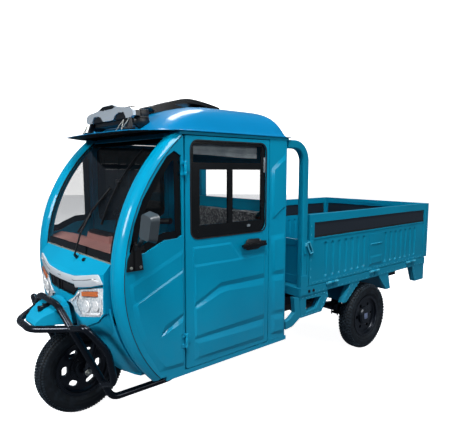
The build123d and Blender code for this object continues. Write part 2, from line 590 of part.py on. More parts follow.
# Floor pan with the wheel tunnel, the sills and the leg shield either side of the tunnel.
SHIELD_EDGE = CAB_HALF - 122.5
SHIELD_BEND = CAB_HALF - 187.0
SHIELD_MIDDLE = (TUNNEL_HALF + SHIELD_BEND) / 2
SHIELD_SECTION = [(TUNNEL_HALF, 80), (SHIELD_MIDDLE, 74), (SHIELD_BEND, 50), (SHIELD_EDGE, 28),
                  (SHIELD_EDGE, 16), (SHIELD_BEND, 38), (SHIELD_MIDDLE, 62), (TUNNEL_HALF, 68)]
SHIELD_FROM = 16.0
SHIELD_TO = 39.5
with BuildPart() as cab_tub:
    block((-CAB_HALF, 232, CAB_BOTTOM), (CAB_HALF, CAB_REAR, SILL_TOP))
    with BuildSketch(Plane.XY.offset(CAB_BOTTOM)):
        with BuildLine():
            edge = HOOP_INNER - 1
            Polyline((-edge, 240), (-edge, 158), (-SHIELD_BEND, 138), (-SHIELD_MIDDLE, 117), (-TUNNEL_HALF, 110),
                     (TUNNEL_HALF, 110), (SHIELD_MIDDLE, 117), (SHIELD_BEND, 138), (edge, 158), (edge, 240),
                     close=True)
        make_face()
    extrude(amount=FLOOR)
    block((-TUNNEL_HALF, 0, 0), (TUNNEL_HALF, TUNNEL_REAR, TUNNEL_TOP), mode=Mode.SUBTRACT)
    block((-32, FRAME_FRONT - 2, CAB_BOTTOM - 1), (32, FRAME_FRONT + CROSS + 2, SILL_TOP + 1), mode=Mode.SUBTRACT)
    for side in (-1, 1):
        low = min(side * TUNNEL_HALF, side * (TUNNEL_HALF + SHEET))
        front_edge = [
            (LOWER_CENTRE - (HOOP_LOWER_RADIUS + 74) * cos(radians(a)),
             HOOP_LEVEL - (HOOP_LOWER_RADIUS + 74) * sin(radians(a)))
            for a in (SHIELD_FROM, 21, 27, 33, SHIELD_TO)
        ]
        side_slab([*front_edge, (TUNNEL_REAR + SHEET, front_edge[-1][1]), (TUNNEL_REAR + SHEET, TUNNEL_TOP),
                   (front_edge[0][0], TUNNEL_TOP)], low, low + SHEET)
    block((-TUNNEL_HALF, front_edge[0][0], TUNNEL_TOP - SHEET), (TUNNEL_HALF, TUNNEL_REAR + SHEET, TUNNEL_TOP))
    block((-TUNNEL_HALF, TUNNEL_REAR, CAB_BOTTOM), (TUNNEL_HALF, TUNNEL_REAR + SHEET, TUNNEL_TOP))
    with BuildSketch(radial_plane(LOWER_CENTRE, -SHIELD_FROM)):
        with BuildLine():
            Polyline(*[(x, HOOP_LOWER_RADIUS + n) for x, n in SHIELD_SECTION], close=True)
        make_face()
        mirror(about=Plane.YZ)
    revolve(axis=LOWER_AXIS, revolution_arc=SHIELD_TO - SHIELD_FROM)
    rod(COLUMN_FOOT + LEAN * 400, COLUMN_FOOT + LEAN * 480, COLUMN_RADIUS + 2 * MOVING_GAP, mode=Mode.SUBTRACT)
save(cab_tub, "cab_tub")

with BuildPart() as windshield:
    with BuildSketch(radial_plane(UPPER_CENTRE, GLASS_LOW_ANGLE)):
        with Locations((0, HOOP_UPPER_RADIUS + RUNNING_GAP + GLASS / 2)):
            Rectangle(2 * (CAB_HALF - 122 - 3), GLASS)
    revolve(axis=UPPER_AXIS, revolution_arc=GLASS_TOP_ANGLE - GLASS_LOW_ANGLE)
save(windshield, "windshield")


# ---- nose ---------------------------------------------------------------------------
def behind_hoops(gap):
    """Everything behind the hoops' groove line, grown forward by a gap."""
    upper = HOOP_UPPER_RADIUS + gap
    lower = HOOP_LOWER_RADIUS + gap
    with BuildPart() as space:
        with BuildSketch(Plane.YZ.offset(-CAB_HALF)):
            with BuildLine():
                RadiusArc((UPPER_CENTRE - upper * cos(radians(30)), HOOP_LEVEL + upper / 2),
                          (UPPER_CENTRE - upper, HOOP_LEVEL), -upper)
                RadiusArc((LOWER_CENTRE - lower, HOOP_LEVEL),
                          (LOWER_CENTRE - lower * cos(radians(30)), HOOP_LEVEL - lower / 2), -lower)
                Polyline((LOWER_CENTRE - lower * cos(radians(30)), HOOP_LEVEL - lower / 2),
                         (400, HOOP_LEVEL - lower / 2), (400, HOOP_LEVEL + upper / 2),
                         (UPPER_CENTRE - upper * cos(radians(30)), HOOP_LEVEL + upper / 2))
            make_face()
        extrude(amount=2 * CAB_HALF)
    return space.part


def nose_form(inset):
    """The nose as three crossing outlines, each drawn in by the inset, open at its back."""
    with BuildPart() as form:
        with BuildSketch(Plane.YZ.offset(-NOSE_HALF - 20)):
            with BuildLine():
                Polyline((80, 968), (-6, 968), (-80, 886), (-112, 862), (-112, 560), (80, 560), close=True)
            make_face()
            offset(amount=-inset, kind=Kind.INTERSECTION)
        extrude(amount=2 * NOSE_HALF + 40)
        with BuildSketch(Plane.XY.offset(500)):
            with BuildLine():
                ThreePointArc((-NOSE_HALF, -52), (0, -NOSE_DEPTH), (NOSE_HALF, -52))
                Polyline((NOSE_HALF, -52), (NOSE_HALF, 80), (-NOSE_HALF, 80), (-NOSE_HALF, -52))
            make_face()
            offset(amount=-inset, kind=Kind.INTERSECTION)
        extrude(amount=520, mode=Mode.INTERSECT)
        with BuildSketch(Plane.XZ.offset(-100)):
            with BuildLine():
                Polyline((-200, 597), (-NOSE_HALF + 152, 613), (-NOSE_HALF + 52, 659), (-NOSE_HALF, 710),
                         (-NOSE_HALF, 968), (NOSE_HALF, 968), (NOSE_HALF, 710), (NOSE_HALF - 52, 659),
                         (NOSE_HALF - 152, 613), (200, 597), (190, 642), (165, 692), (130, 709),
                         (-130, 709), (-165, 692), (-190, 642), close=True)
            make_face()
            offset(amount=-inset, kind=Kind.INTERSECTION)
        extrude(amount=260, mode=Mode.INTERSECT)
    return form.part


def across(points):
    """Front view points drawn for a nose of the drawn width, stretched to this nose."""
    return [(x * NOSE_HALF / NOSE_DRAWN, z) for x, z in points]


LAMP = across([(222, 796), (246, 808), (445, 845), (441, 712), (420, 690), (233, 651), (181, 667), (104, 716), (179, 752)])
GRILLE = across([(-222, 822), (222, 822), (218, 800), (176, 756), (-176, 756), (-218, 800)])
TRIM = across([(0, 867), (191, 871), (405, 910), (419, 908), (449, 866), (353, 838), (200, 809), (190, 826),
               (0, 826)])
NOSE_SKIN = 10.0
NOSE_LIP = 48.0
LAMP_DEPTH = 20.0
TRIM_PROUD = 6.0


def front_prism(points, gap=0.0, mode=Mode.ADD):
    """A prism through the nose from a front view outline of (x, z) points, grown by a gap."""
    with BuildSketch(Plane.XZ.offset(-60)) as outline:
        with BuildLine():
            Polyline(*points, close=True)
        make_face()
        if gap:
            offset(amount=gap, kind=Kind.INTERSECTION)
    extrude(outline.sketch, amount=240, mode=mode)


with BuildPart() as nose_panel:
    add(nose_form(0))
    add(nose_form(NOSE_SKIN), mode=Mode.SUBTRACT)
    add(behind_hoops(RUNNING_GAP), mode=Mode.SUBTRACT)
    block((-HOOP_INNER, -NOSE_LIP, 560), (HOOP_INNER, 100, 860), mode=Mode.SUBTRACT)
    front_prism(LAMP, RUNNING_GAP, Mode.SUBTRACT)
    front_prism([(-x, z) for x, z in LAMP], RUNNING_GAP, Mode.SUBTRACT)
    front_prism(GRILLE, RUNNING_GAP, Mode.SUBTRACT)
save(nose_panel, "nose_panel")

with BuildPart() as headlights:
    front_prism(LAMP)
    front_prism([(-x, z) for x, z in LAMP])
    add(nose_form(1), mode=Mode.INTERSECT)
    add(nose_form(LAMP_DEPTH), mode=Mode.SUBTRACT)
    add(behind_hoops(NOSE_SKIN), mode=Mode.SUBTRACT)
    block((-HOOP_INNER, -NOSE_LIP, 560), (HOOP_INNER, 100, 860), mode=Mode.SUBTRACT)
save(headlights, "headlights")

with BuildPart() as grille_panel:
    front_prism(GRILLE)
    add(nose_form(4), mode=Mode.INTERSECT)
    add(nose_form(14), mode=Mode.SUBTRACT)
    front_prism(LAMP, 2 * RUNNING_GAP, Mode.SUBTRACT)
    front_prism([(-x, z) for x, z in LAMP], 2 * RUNNING_GAP, Mode.SUBTRACT)
save(grille_panel, "grille_panel")

with BuildPart() as trim_bar:
    front_prism(TRIM)
    front_prism([(-x, z) for x, z in TRIM])
    add(nose_form(0).moved(Location((0, -TRIM_PROUD, TRIM_PROUD / 2))), mode=Mode.INTERSECT)
    add(nose_form(0).moved(Location((0, -RUNNING_GAP, RUNNING_GAP))), mode=Mode.SUBTRACT)
save(trim_bar, "trim_bar")

FENDER_HALF = 165.0


def fender_form(inset):
    """The beak over the front wheel, from the nose forward."""
    root = NOSE_DEPTH + RUNNING_GAP
    with BuildPart() as form:
        with BuildSketch(Plane.YZ.offset(-200)):
            with BuildLine():
                Polyline((-root, 719), (-130, 708), (-174, 683), (-240, 648), (-272, 620), (-284, 600),
                         (-280, 588), (-root, 588), close=True)
            make_face()
            offset(amount=-inset, kind=Kind.INTERSECTION)
        extrude(amount=400)
        with BuildSketch(Plane.XZ.offset(-100)):
            with BuildLine():
                Polyline((-FENDER_HALF, 580), (-FENDER_HALF, 600), (-120, 690), (-60, 716), (0, 727),
                         (60, 716), (120, 690), (FENDER_HALF, 600), (FENDER_HALF, 580), close=True)
            make_face()
            offset(amount=-inset, kind=Kind.INTERSECTION)
        extrude(amount=500, mode=Mode.INTERSECT)
        with BuildSketch(Plane.XY.offset(500)):
            with BuildLine():
                Polyline((-FENDER_HALF, -90), (-FENDER_HALF, -130), (-70, -290), (70, -290), (FENDER_HALF, -130),
                         (FENDER_HALF, -90), close=True)
            make_face()
            offset(amount=-inset, kind=Kind.INTERSECTION)
        extrude(amount=300, mode=Mode.INTERSECT)
    return form.part


with BuildPart() as front_fender:
    add(fender_form(0))
    add(fender_form(SHEET), mode=Mode.SUBTRACT)
    block((-FENDER_HALF + 10, -230, 560), (FENDER_HALF - 10, -90, 600), mode=Mode.SUBTRACT)
save(front_fender, "front_fender")

WIPER_PROUD = 17.0


def on_screen(x, z, proud):
    """A point in front of the screen, at a height and a distance off the groove line."""
    reach = HOOP_UPPER_RADIUS + proud
    return (x, UPPER_CENTRE - (reach ** 2 - (z - HOOP_LEVEL) ** 2) ** 0.5, z)


with BuildPart() as wiper:
    rod((67, -27.6, 945.6), (67, -43, 962), 9)
    tube([(67, -43, 962), on_screen(95, 1090, 34), on_screen(132, 1205, WIPER_PROUD)], 5, bend=60)
    tube([on_screen(20, 1085, WIPER_PROUD), on_screen(135, 1215, WIPER_PROUD), on_screen(250, 1345, WIPER_PROUD)],
         6, bend=300)
    rod((163, -27.6, 945.6), (163, -34, 952), 11)
save(wiper, "wiper")

# The left mirror: a bracket on the hoop, a ball neck and a leaning housing with a deep back.
MIRROR_GLASS_Y = 78.0
MIRROR_DEPTH = 42.0
MIRROR_OUTLINE = [(CAB_HALF + 58, 1108), (CAB_HALF + 172, 1100), (CAB_HALF + 206, 1236), (CAB_HALF + 94, 1254)]
with BuildPart() as mirror_left:
    side_slab([(4, 945), (98, 945), (90, 1010), (84, 1078), (50, 1078), (14, 1010)],
              CAB_HALF + RUNNING_GAP, CAB_HALF + 8)
    block((CAB_HALF + 4, 46, 950), (CAB_HALF + 20, 56, 1066))
    side_slab([(44, 1052), (90, 1052), (84, 1078), (50, 1078)], CAB_HALF + 4, CAB_HALF + 34)
    rod((CAB_HALF + 22, 67, 1070), (CAB_HALF + 84, 58, 1128), 12)
    with BuildSketch(Plane.XZ.offset(-MIRROR_GLASS_Y)) as rear_face:
        with BuildLine():
            Polyline(*MIRROR_OUTLINE, close=True)
        make_face()
        fillet(rear_face.vertices(), 26)
    with BuildSketch(Plane.XZ.offset(-MIRROR_GLASS_Y + MIRROR_DEPTH)) as back_face:
        with BuildLine():
            Polyline(*MIRROR_OUTLINE, close=True)
        make_face()
        offset(amount=-12, kind=Kind.INTERSECTION)
        fillet(back_face.vertices(), 20)
    loft([rear_face.sketch, back_face.sketch], ruled=True)
save(mirror_left, "mirror_left")

# ---- roof ---------------------------------------------------------------------------
def dome_form(inset):
    """The roof dome: its cross arch crossed with its side outline."""
    base = RAIL_TOP + ROOF_PLATE - (6 if inset > 0 else 0)
    with BuildPart() as form:
        with BuildSketch(Plane.XZ.offset(-1300)) as arch:
            with BuildLine():
                Line((-DOME_HALF + inset, base), (-SHOULDER_HALF + inset, SHOULDER_TOP - inset))
                ThreePointArc((-SHOULDER_HALF + inset, SHOULDER_TOP - inset), (0, ROOF_TOP - inset),
                              (SHOULDER_HALF - inset, SHOULDER_TOP - inset))
                Polyline((SHOULDER_HALF - inset, SHOULDER_TOP - inset), (DOME_HALF - inset, base),
                         (-DOME_HALF + inset, base))
            make_face()
            fillet(arch.vertices().group_by(Axis.Y)[1], SHOULDER_BEND)
        extrude(amount=1200)
        with BuildSketch(Plane.YZ.offset(-DOME_HALF)):
            with BuildLine():
                Polyline((ROOF_REAR - 12 - inset, base), (DOME_FRONT + inset, base))
                Spline((DOME_FRONT + inset, base), (330 + inset, 1720 - inset), (410 + inset / 2, 1766 - inset),
                       (500, 1801 - inset), (742, 1838 - inset), (980, 1849 - inset), (1085, 1830 - inset),
                       (1148 - inset / 2, 1768 - inset), (ROOF_REAR - 12 - inset, base))
            make_face()
        extrude(amount=2 * DOME_HALF, mode=Mode.INTERSECT)
    return form.part


with BuildPart() as roof_panel:
    with BuildSketch(Plane.XY.offset(RAIL_TOP + RUNNING_GAP)):
        with BuildLine():
            Polyline((-ROOF_HALF, 300), (-ROOF_HALF, ROOF_REAR), (ROOF_HALF, ROOF_REAR), (ROOF_HALF, 300))
            Spline((ROOF_HALF, 300), (500, 198), (400, 124), (240, VISOR_FRONT), (0, VISOR_FRONT - 6),
                   (-240, VISOR_FRONT), (-400, 124), (-500, 198), (-ROOF_HALF, 300))
        make_face()
    extrude(amount=ROOF_PLATE - RUNNING_GAP)
    add(dome_form(0))
    add(dome_form(ROOF_SKIN), mode=Mode.SUBTRACT)
    block((-DOME_HALF + 40, 345, RAIL_TOP - 5), (DOME_HALF - 40, CAB_REAR - PANEL - 5, RAIL_TOP + ROOF_PLATE + 4),
          mode=Mode.SUBTRACT)
save(roof_panel, "roof_panel")

# Lamp pod over the visor: a faceted front cover with two lower openings, on two clamp feet.
POD_FRONT = 215.0
POD_COVER = 48.0
POD_REAR = 320.0
POD_HALF = 302.0
with BuildPart() as roof_lamp_pod:
    with BuildSketch(Plane.XZ.offset(-POD_FRONT)):
        with BuildLine():
            Polyline((-POD_HALF + 22, 1735), (-POD_HALF, 1746), (-POD_HALF, 1776), (-POD_HALF + 30, 1791),
                     (-140, 1803), (-60, 1826), (60, 1826), (140, 1803), (POD_HALF - 30, 1791),
                     (POD_HALF, 1776), (POD_HALF, 1746), (POD_HALF - 22, 1735), close=True)
        make_face()
    extrude(amount=-POD_COVER)
    with BuildSketch(Plane.XZ.offset(-POD_FRONT - POD_COVER + 1)):
        with BuildLine():
            Polyline((-POD_HALF + 4, 1740), (-POD_HALF + 4, 1782), (-150, 1796), (-60, 1816), (60, 1816),
                     (150, 1796), (POD_HALF - 4, 1782), (POD_HALF - 4, 1740), close=True)
        make_face()
    extrude(amount=-(POD_REAR - POD_FRONT - POD_COVER))
    for side in (-1, 1):
        outline = [(64, 1734), (96, 1763), (138, 1773), (196, 1771), (222, 1742), (222, 1734)]
        with BuildSketch(Plane.XZ.offset(-POD_FRONT - 24)) as opening:
            with BuildLine():
                Polyline(*[(side * x, z) for x, z in outline], close=True)
            make_face()
        extrude(opening.sketch, amount=30, mode=Mode.SUBTRACT)
        low = min(side * 232, side * 272)
        block((low, 198, RAIL_TOP + ROOF_PLATE + RUNNING_GAP), (low + 40, 238, RAIL_TOP + ROOF_PLATE + 8))
        side_slab([(200, 1676), (232, 1676), (244, 1740), (222, 1740)], low + 8, low + 32)
save(roof_lamp_pod, "roof_lamp_pod")

# A low arch along the middle of the roof, open under its crown, on two plinths.
ARCH_HALF = 95.0
with BuildPart() as roof_arch_trim:
    with BuildSketch(Plane.YZ.offset(-ARCH_HALF)):
        with BuildLine():
            Spline((457, 1828), (489, 1843), (570, 1866), (673, 1898), (743, 1908), (832, 1902), (936, 1886),
                   (1003, 1872))
            Line((1003, 1872), (1006, 1858))
            Spline((1006, 1858), (936, 1863), (832, 1877), (743, 1879), (655, 1866), (570, 1835), (488, 1806))
            Line((488, 1806), (457, 1828))
        make_face()
    extrude(amount=2 * ARCH_HALF)
    side_slab([(478, 1760), (488, 1812), (570, 1838), (640, 1862), (742, 1848), (742, 1780)],
              -ARCH_HALF + 12, ARCH_HALF - 12)
    side_slab([(842, 1790), (842, 1850), (880, 1866), (1000, 1860), (1014, 1848), (1014, 1790)],
              -ARCH_HALF + 12, ARCH_HALF - 12)
    add(dome_form(-RUNNING_GAP), mode=Mode.SUBTRACT)
save(roof_arch_trim, "roof_arch_trim")

# ---- doors --------------------------------------------------------------------------
WINDOW_FRONT = 397.0
WINDOW_REAR = 972.0
WINDOW_LOW = 1069.0
WINDOW_HIGH = 1605.0
WINDOW_CORNER = 50.0
WINDOW_BAR = 34.0
HANDLE_OUT = 26.0


def window_sketch(x, inset):
    """The door window's outline on a lengthwise plane, drawn in by the inset."""
    middle = ((WINDOW_FRONT + WINDOW_REAR) / 2, (WINDOW_LOW + WINDOW_HIGH) / 2)
    with BuildSketch(Plane.YZ.offset(x)) as outline:
        with Locations(middle):
            RectangleRounded(
                WINDOW_REAR - WINDOW_FRONT - 2 * inset, WINDOW_HIGH - WINDOW_LOW - 2 * inset,
                WINDOW_CORNER - inset,
            )
    return outline.sketch


with BuildPart() as door_left:
    block((PANEL_INSIDE, DOOR_FRONT, DOOR_BOTTOM), (CAB_HALF, DOOR_REAR, DOOR_TOP))
    fillet(door_left.edges().filter_by(Axis.X), 12)
    pad(CAB_HALF, [(412, 1025), (689, 1025), (769, 923), (769, 912), (412, 912)],
        [(416, 1013), (676, 1013), (756, 919), (756, 914), (416, 914)], EMBOSS_LOW)
    pad(CAB_HALF, [(412, 938), (967, 938), (967, 771), (600, 774), (418, 691)],
        [(424, 912), (957, 912), (957, 801), (607, 799), (424, 716)], EMBOSS)
    pad(CAB_HALF, [(418, 687), (594, 765), (664, 769), (967, 766), (967, 504), (419, 502)],
        [(431, 672), (594, 732), (664, 741), (957, 724), (957, 537), (431, 523)], EMBOSS)
    pad(CAB_HALF, [(419, 498), (967, 500), (968, 366), (412, 378)],
        [(442, 472), (957, 460), (957, 396), (453, 396)], EMBOSS)
    extrude(window_sketch(PANEL_INSIDE - 1, 0), amount=PANEL + 2, mode=Mode.SUBTRACT)
    for low, high in HINGE_SPANS:
        block((CAB_HALF - 2, DOOR_HINGE[1], low + 20), (CAB_HALF + 6, DOOR_HINGE[1] + 32, high - 20))
        rod((*DOOR_HINGE, low + 20), (*DOOR_HINGE, high - 20), HINGE_RADIUS)
save(door_left, "door_left")
mirrored(door_left, "door_right")

with BuildPart() as door_window_left:
    extrude(window_sketch(PANEL_INSIDE + 6, RUNNING_GAP), amount=16)
    for y0, y1, z0, z1 in ((420, 940, 1487, 1585), (463, 670, 1140, 1447), (704, 940, 1140, 1447)):
        block((PANEL_INSIDE, y0, z0), (CAB_HALF, y1, z1), mode=Mode.SUBTRACT)
save(door_window_left, "door_window_left")
mirrored(door_window_left, "door_window_right")

with BuildPart() as door_glass_left:
    for y0, y1, z0, z1 in ((420, 940, 1487, 1585), (463, 670, 1140, 1447), (704, 940, 1140, 1447)):
        block((PANEL_INSIDE + 12, y0 + RUNNING_GAP, z0 + RUNNING_GAP),
              (PANEL_INSIDE + 16, y1 - RUNNING_GAP, z1 - RUNNING_GAP))
save(door_glass_left, "door_glass_left")
mirrored(door_glass_left, "door_glass_right")

with BuildPart() as door_handle_left:
    block((CAB_HALF + RUNNING_GAP, 782, 960), (CAB_HALF + 6, 987, 1024))
    fillet(door_handle_left.edges().filter_by(Axis.X), 14)
    with BuildSketch(Plane.XY.offset(974)) as grip:
        with BuildLine():
            Polyline((CAB_HALF + 5, 788), (CAB_HALF + 20, 796), (CAB_HALF + HANDLE_OUT, 830),
                     (CAB_HALF + HANDLE_OUT, 905), (CAB_HALF + 18, 928), (CAB_HALF + 5, 934), close=True)
        make_face()
    extrude(grip.sketch, amount=38)
    rod((CAB_HALF + 5, 960, 992), (CAB_HALF + 15, 960, 992), 13)
save(door_handle_left, "door_handle_left")
mirrored(door_handle_left, "door_handle_right")

with BuildPart() as door_hinges:
    for low, high in HINGE_SPANS:
        for z0, z1 in ((low, low + 19.5), (high - 19.5, high)):
            rod((*DOOR_HINGE, z0), (*DOOR_HINGE, z1), HINGE_RADIUS)
            block((CAB_HALF + RUNNING_GAP, DOOR_HINGE[1] - HINGE_LEAF, z0), (CAB_HALF + 6, DOOR_HINGE[1], z1))
    mirror(about=Plane.YZ)
save(door_hinges, "door_hinges")

# ---- cab inside ---------------------------------------------------------------------
with BuildPart() as dashboard:
    with BuildSketch(Plane.YZ.offset(-CAB_HALF + PANEL + 6)):
        turn = radians(7.5)
        back = HOOP_UPPER_RADIUS - 30 - RUNNING_GAP
        with BuildLine():
            Polyline((UPPER_CENTRE - back * cos(turn), HOOP_LEVEL + back * sin(turn)), (120, 1020), (205, 1000),
                     (215, 905), (190, 885), (UPPER_CENTRE - back, HOOP_LEVEL + 5))
            RadiusArc((UPPER_CENTRE - back, HOOP_LEVEL + 5),
                      (UPPER_CENTRE - back * cos(turn), HOOP_LEVEL + back * sin(turn)), -back)
        make_face()
    extrude(amount=2 * (CAB_HALF - PANEL - 6))
    side_slab([(120, 1015), (130, 1060), (160, 1058), (200, 995), (160, 990)], -140, 160)
save(dashboard, "dashboard")

SEAT_FRONT = 640.0
SEAT_HALF = CAB_HALF - 157.0
SEAT_BOX_TOP = 600.0
SEAT_REAR = 1120.0
with BuildPart() as seat_box:
    block((-SEAT_HALF, SEAT_FRONT, SILL_TOP + RUNNING_GAP), (SEAT_HALF, SEAT_REAR, SEAT_BOX_TOP))
    block((-SEAT_HALF + 15, SEAT_FRONT + 15, SILL_TOP), (SEAT_HALF - 15, SEAT_REAR - 15, SEAT_BOX_TOP - 15),
          mode=Mode.SUBTRACT)
save(seat_box, "seat_box")

with BuildPart() as seat_cushion:
    block((-SEAT_HALF, SEAT_FRONT - 10, SEAT_BOX_TOP + RUNNING_GAP), (SEAT_HALF, SEAT_REAR - 90, SEAT_BOX_TOP + 110))
    fillet(seat_cushion.edges().filter_by(Axis.X).sort_by(Axis.Z)[-2:], 30)
save(seat_cushion, "seat_cushion")

with BuildPart() as seat_backrest:
    side_slab([(SEAT_REAR - 88, SEAT_BOX_TOP + RUNNING_GAP), (SEAT_REAR, SEAT_BOX_TOP + RUNNING_GAP),
               (CAB_REAR - PANEL - RUNNING_GAP, SEAT_BOX_TOP + 120), (CAB_REAR - PANEL - RUNNING_GAP, 1150),
               (CAB_REAR - PANEL - 60, 1150)], -SEAT_HALF, SEAT_HALF)
save(seat_backrest, "seat_backrest")

# ---- load bed -----------------------------------------------------------------------
HINGE_STATIONS = ((1606.0, 1721.0), (2167.0, 2280.0), (2747.0, 2884.0))
TAIL_STATIONS = (-400.0, 0.0, 400.0)
with BuildPart() as bed_deck:
    block((-BED_HALF, BED_FRONT, BED_BOTTOM), (BED_HALF, BED_REAR, BED_TOP))
    block((-BED_HALF + 45, BED_FRONT + 45, BED_BOTTOM - 1), (BED_HALF - 45, BED_REAR - 45, BED_TOP - 14),
          mode=Mode.SUBTRACT)
    sheet_half = BED_HALF - BOARD - 6
    block((-sheet_half, BOARD_FRONT + 3, BED_TOP - 1), (sheet_half, BOARD_REAR - 3, BED_TOP + FLOOR_SHEET))
    for y in (1640.0, 2000.0, 2360.0, 2720.0):
        block((-BED_HALF + 45, y, BED_BOTTOM), (BED_HALF - 45, y + 40, BED_TOP - 14))
    for side in (-1, 1):
        low = min(side * FRAME_RAIL_X, side * (FRAME_RAIL_X + FRAME_RAIL))
        for y in (1640.0, 2000.0, 2360.0, 2720.0):
            block((low, y, FRAME_HIGH + FRAME_DEPTH + RUNNING_GAP), (low + FRAME_RAIL, y + 40, BED_BOTTOM))
        for low, high in HINGE_STATIONS:
            third = (high - low) / 3
            for y0, y1 in ((low, low + third - 0.5), (high - third + 0.5, high)):
                rod((side * HINGE_X, y0, HINGE_Z), (side * HINGE_X, y1, HINGE_Z), HINGE_RADIUS)
                near = min(side * (BED_HALF - 1), side * (BED_HALF + 5))
                block((near, y0, HINGE_Z - 34), (near + 6, y1, HINGE_Z))
    for x in TAIL_STATIONS:
        for x0, x1 in ((x - 50, x - 17.5), (x + 17.5, x + 50)):
            rod((x0, TAIL_HINGE_Y, HINGE_Z), (x1, TAIL_HINGE_Y, HINGE_Z), HINGE_RADIUS)
            block((x0, BED_REAR - 1, HINGE_Z - 20), (x1, TAIL_HINGE_Y, HINGE_Z - 4))
save(bed_deck, "bed_deck")

BRACKET_TOP = BED_BOTTOM - RUNNING_GAP
BRACKET_WIDTH = 50.0
MUD_INNER = 350.0
with BuildPart() as bed_brackets:
    inner = BED_HALF - 5 - BRACKET_WIDTH
    side_slab([(1322, BRACKET_TOP), (1628, BRACKET_TOP), (1639, 524), (1562, 426), (1331, 424)],
              inner, BED_HALF - 5)
    side_slab([(1386, 547), (1560, 540), (1506, 464), (1389, 453)], inner - 1, BED_HALF, mode=Mode.SUBTRACT)
    side_slab([(1264, 582), (1322, 570), (1331, 424), (1252, 382), (1186, 374), (1184, 426), (1228, 440),
               (1276, 474)], inner + 12, BED_HALF - 9)
    for near, far, foot_near, foot_far in ((-240, -112, -332, -288), (154, 310, 283, 350)):
        side_slab([(WHEELBASE + near, BRACKET_TOP), (WHEELBASE + far, BRACKET_TOP),
                   (WHEELBASE + foot_far, 436), (WHEELBASE + foot_near, 436)], inner, BED_HALF - 5)
    side_slab([(WHEELBASE - 130, BRACKET_TOP), (WHEELBASE - 112, BRACKET_TOP), (WHEELBASE - 288, 436),
               (WHEELBASE - 298, 436)], MUD_INNER, inner + 1)
    side_slab([(WHEELBASE + 154, BRACKET_TOP), (WHEELBASE + 172, BRACKET_TOP), (WHEELBASE + 295, 436),
               (WHEELBASE + 283, 436)], MUD_INNER, inner + 1)
    side_slab([(2868, BRACKET_TOP), (BED_REAR, BRACKET_TOP), (BED_REAR, 428), (2935, 430)], inner, BED_HALF - 5)
    mirror(about=Plane.YZ)
save(bed_brackets, "bed_brackets")

# Drop sides: a mitred tube frame round a pressed sheet with flutes, and a recessed strip above.
FIELD_LOW = 664.0
FIELD_HIGH = 1100.0
FLUTE_MIDDLE = 807.0
PLATE_FRONT = 2151.0
PLATE_REAR = 2361.0
with BuildPart() as side_board_left:
    inside = BED_HALF - BOARD
    block((inside, BOARD_FRONT, BOARD_BOTTOM), (BED_HALF, BOARD_REAR, BOARD_TOP))
    block((BED_HALF - FIELD_DEPTH, 1450, FIELD_LOW), (BED_HALF + 1, 3050, FIELD_HIGH - 136), mode=Mode.SUBTRACT)
    block((BED_HALF - STRIP_DEPTH, 1457, STRIP_LOW), (BED_HALF + 1, 3050, STRIP_HIGH), mode=Mode.SUBTRACT)
    block((inside - 1, 1457, STRIP_LOW), (inside + STRIP_DEPTH, 3050, STRIP_HIGH), mode=Mode.SUBTRACT)
    for start in (1590.0, 2396.0):
        for index in range(7):
            centre = (start + index * FLUTE_PITCH, FLUTE_MIDDLE)
            flute(Plane.YZ.offset(BED_HALF - FIELD_DEPTH), Plane.YZ.offset(BED_HALF - STRIP_DEPTH), centre)
            flute(Plane.YZ.offset(inside), Plane.YZ.offset(inside + EMBOSS), centre)
    block((BED_HALF - FIELD_DEPTH - 1, PLATE_FRONT, 681), (BED_HALF - 1, PLATE_REAR, 936))
    pad(BED_HALF - 1, [(2168, 686), (2348, 686), (2348, 756), (2168, 756)],
        [(2180, 696), (2336, 696), (2336, 746), (2180, 746)], 4)
    rod((BED_HALF + 1, 2176, 853), (BED_HALF + 1, 2334, 853), 4)
    for low, high in HINGE_STATIONS:
        third = (high - low) / 3
        block((BED_HALF - 1, low + third, HINGE_Z + 4), (BED_HALF + 4, high - third, HINGE_Z + 30))
        rod((HINGE_X, low + third, HINGE_Z), (HINGE_X, high - third, HINGE_Z), HINGE_RADIUS)
        block((BED_HALF, low + third, HINGE_Z), (HINGE_X, high - third, HINGE_Z + 9))
save(side_board_left, "side_board_left")
mirrored(side_board_left, "side_board_right")

TAIL_FLUTES = 12
with BuildPart() as tailgate:
    face = BOARD_REAR + MOVING_GAP
    outside = face + BOARD
    block((-BED_HALF, face, BOARD_BOTTOM), (BED_HALF, outside, BOARD_TOP))
    block((-BED_HALF + 45, outside - FIELD_DEPTH, FIELD_LOW), (BED_HALF - 45, outside + 1, FIELD_HIGH - 136),
          mode=Mode.SUBTRACT)
    block((-BED_HALF + 50, outside - STRIP_DEPTH, STRIP_LOW), (BED_HALF - 50, outside + 1, STRIP_HIGH),
          mode=Mode.SUBTRACT)
    block((-BED_HALF + 50, face - 1, STRIP_LOW), (BED_HALF - 50, face + STRIP_DEPTH, STRIP_HIGH),
          mode=Mode.SUBTRACT)
    for index in range(TAIL_FLUTES):
        centre = ((index - (TAIL_FLUTES - 1) / 2) * FLUTE_PITCH, FLUTE_MIDDLE)
        flute(Plane.XZ.offset(-outside + FIELD_DEPTH), Plane.XZ.offset(-outside + STRIP_DEPTH), centre)
        flute(Plane.XZ.offset(-face), Plane.XZ.offset(-face - EMBOSS), centre)
    for x in TAIL_STATIONS:
        rod((x - 17, TAIL_HINGE_Y, HINGE_Z), (x + 17, TAIL_HINGE_Y, HINGE_Z), HINGE_RADIUS)
        block((x - 17, outside - 1, HINGE_Z), (x + 17, TAIL_HINGE_Y + 4, HINGE_Z + 14))
        block((x - 17, outside - 1, HINGE_Z + 9), (x + 17, outside + 4, HINGE_Z + 30))
save(tailgate, "tailgate")

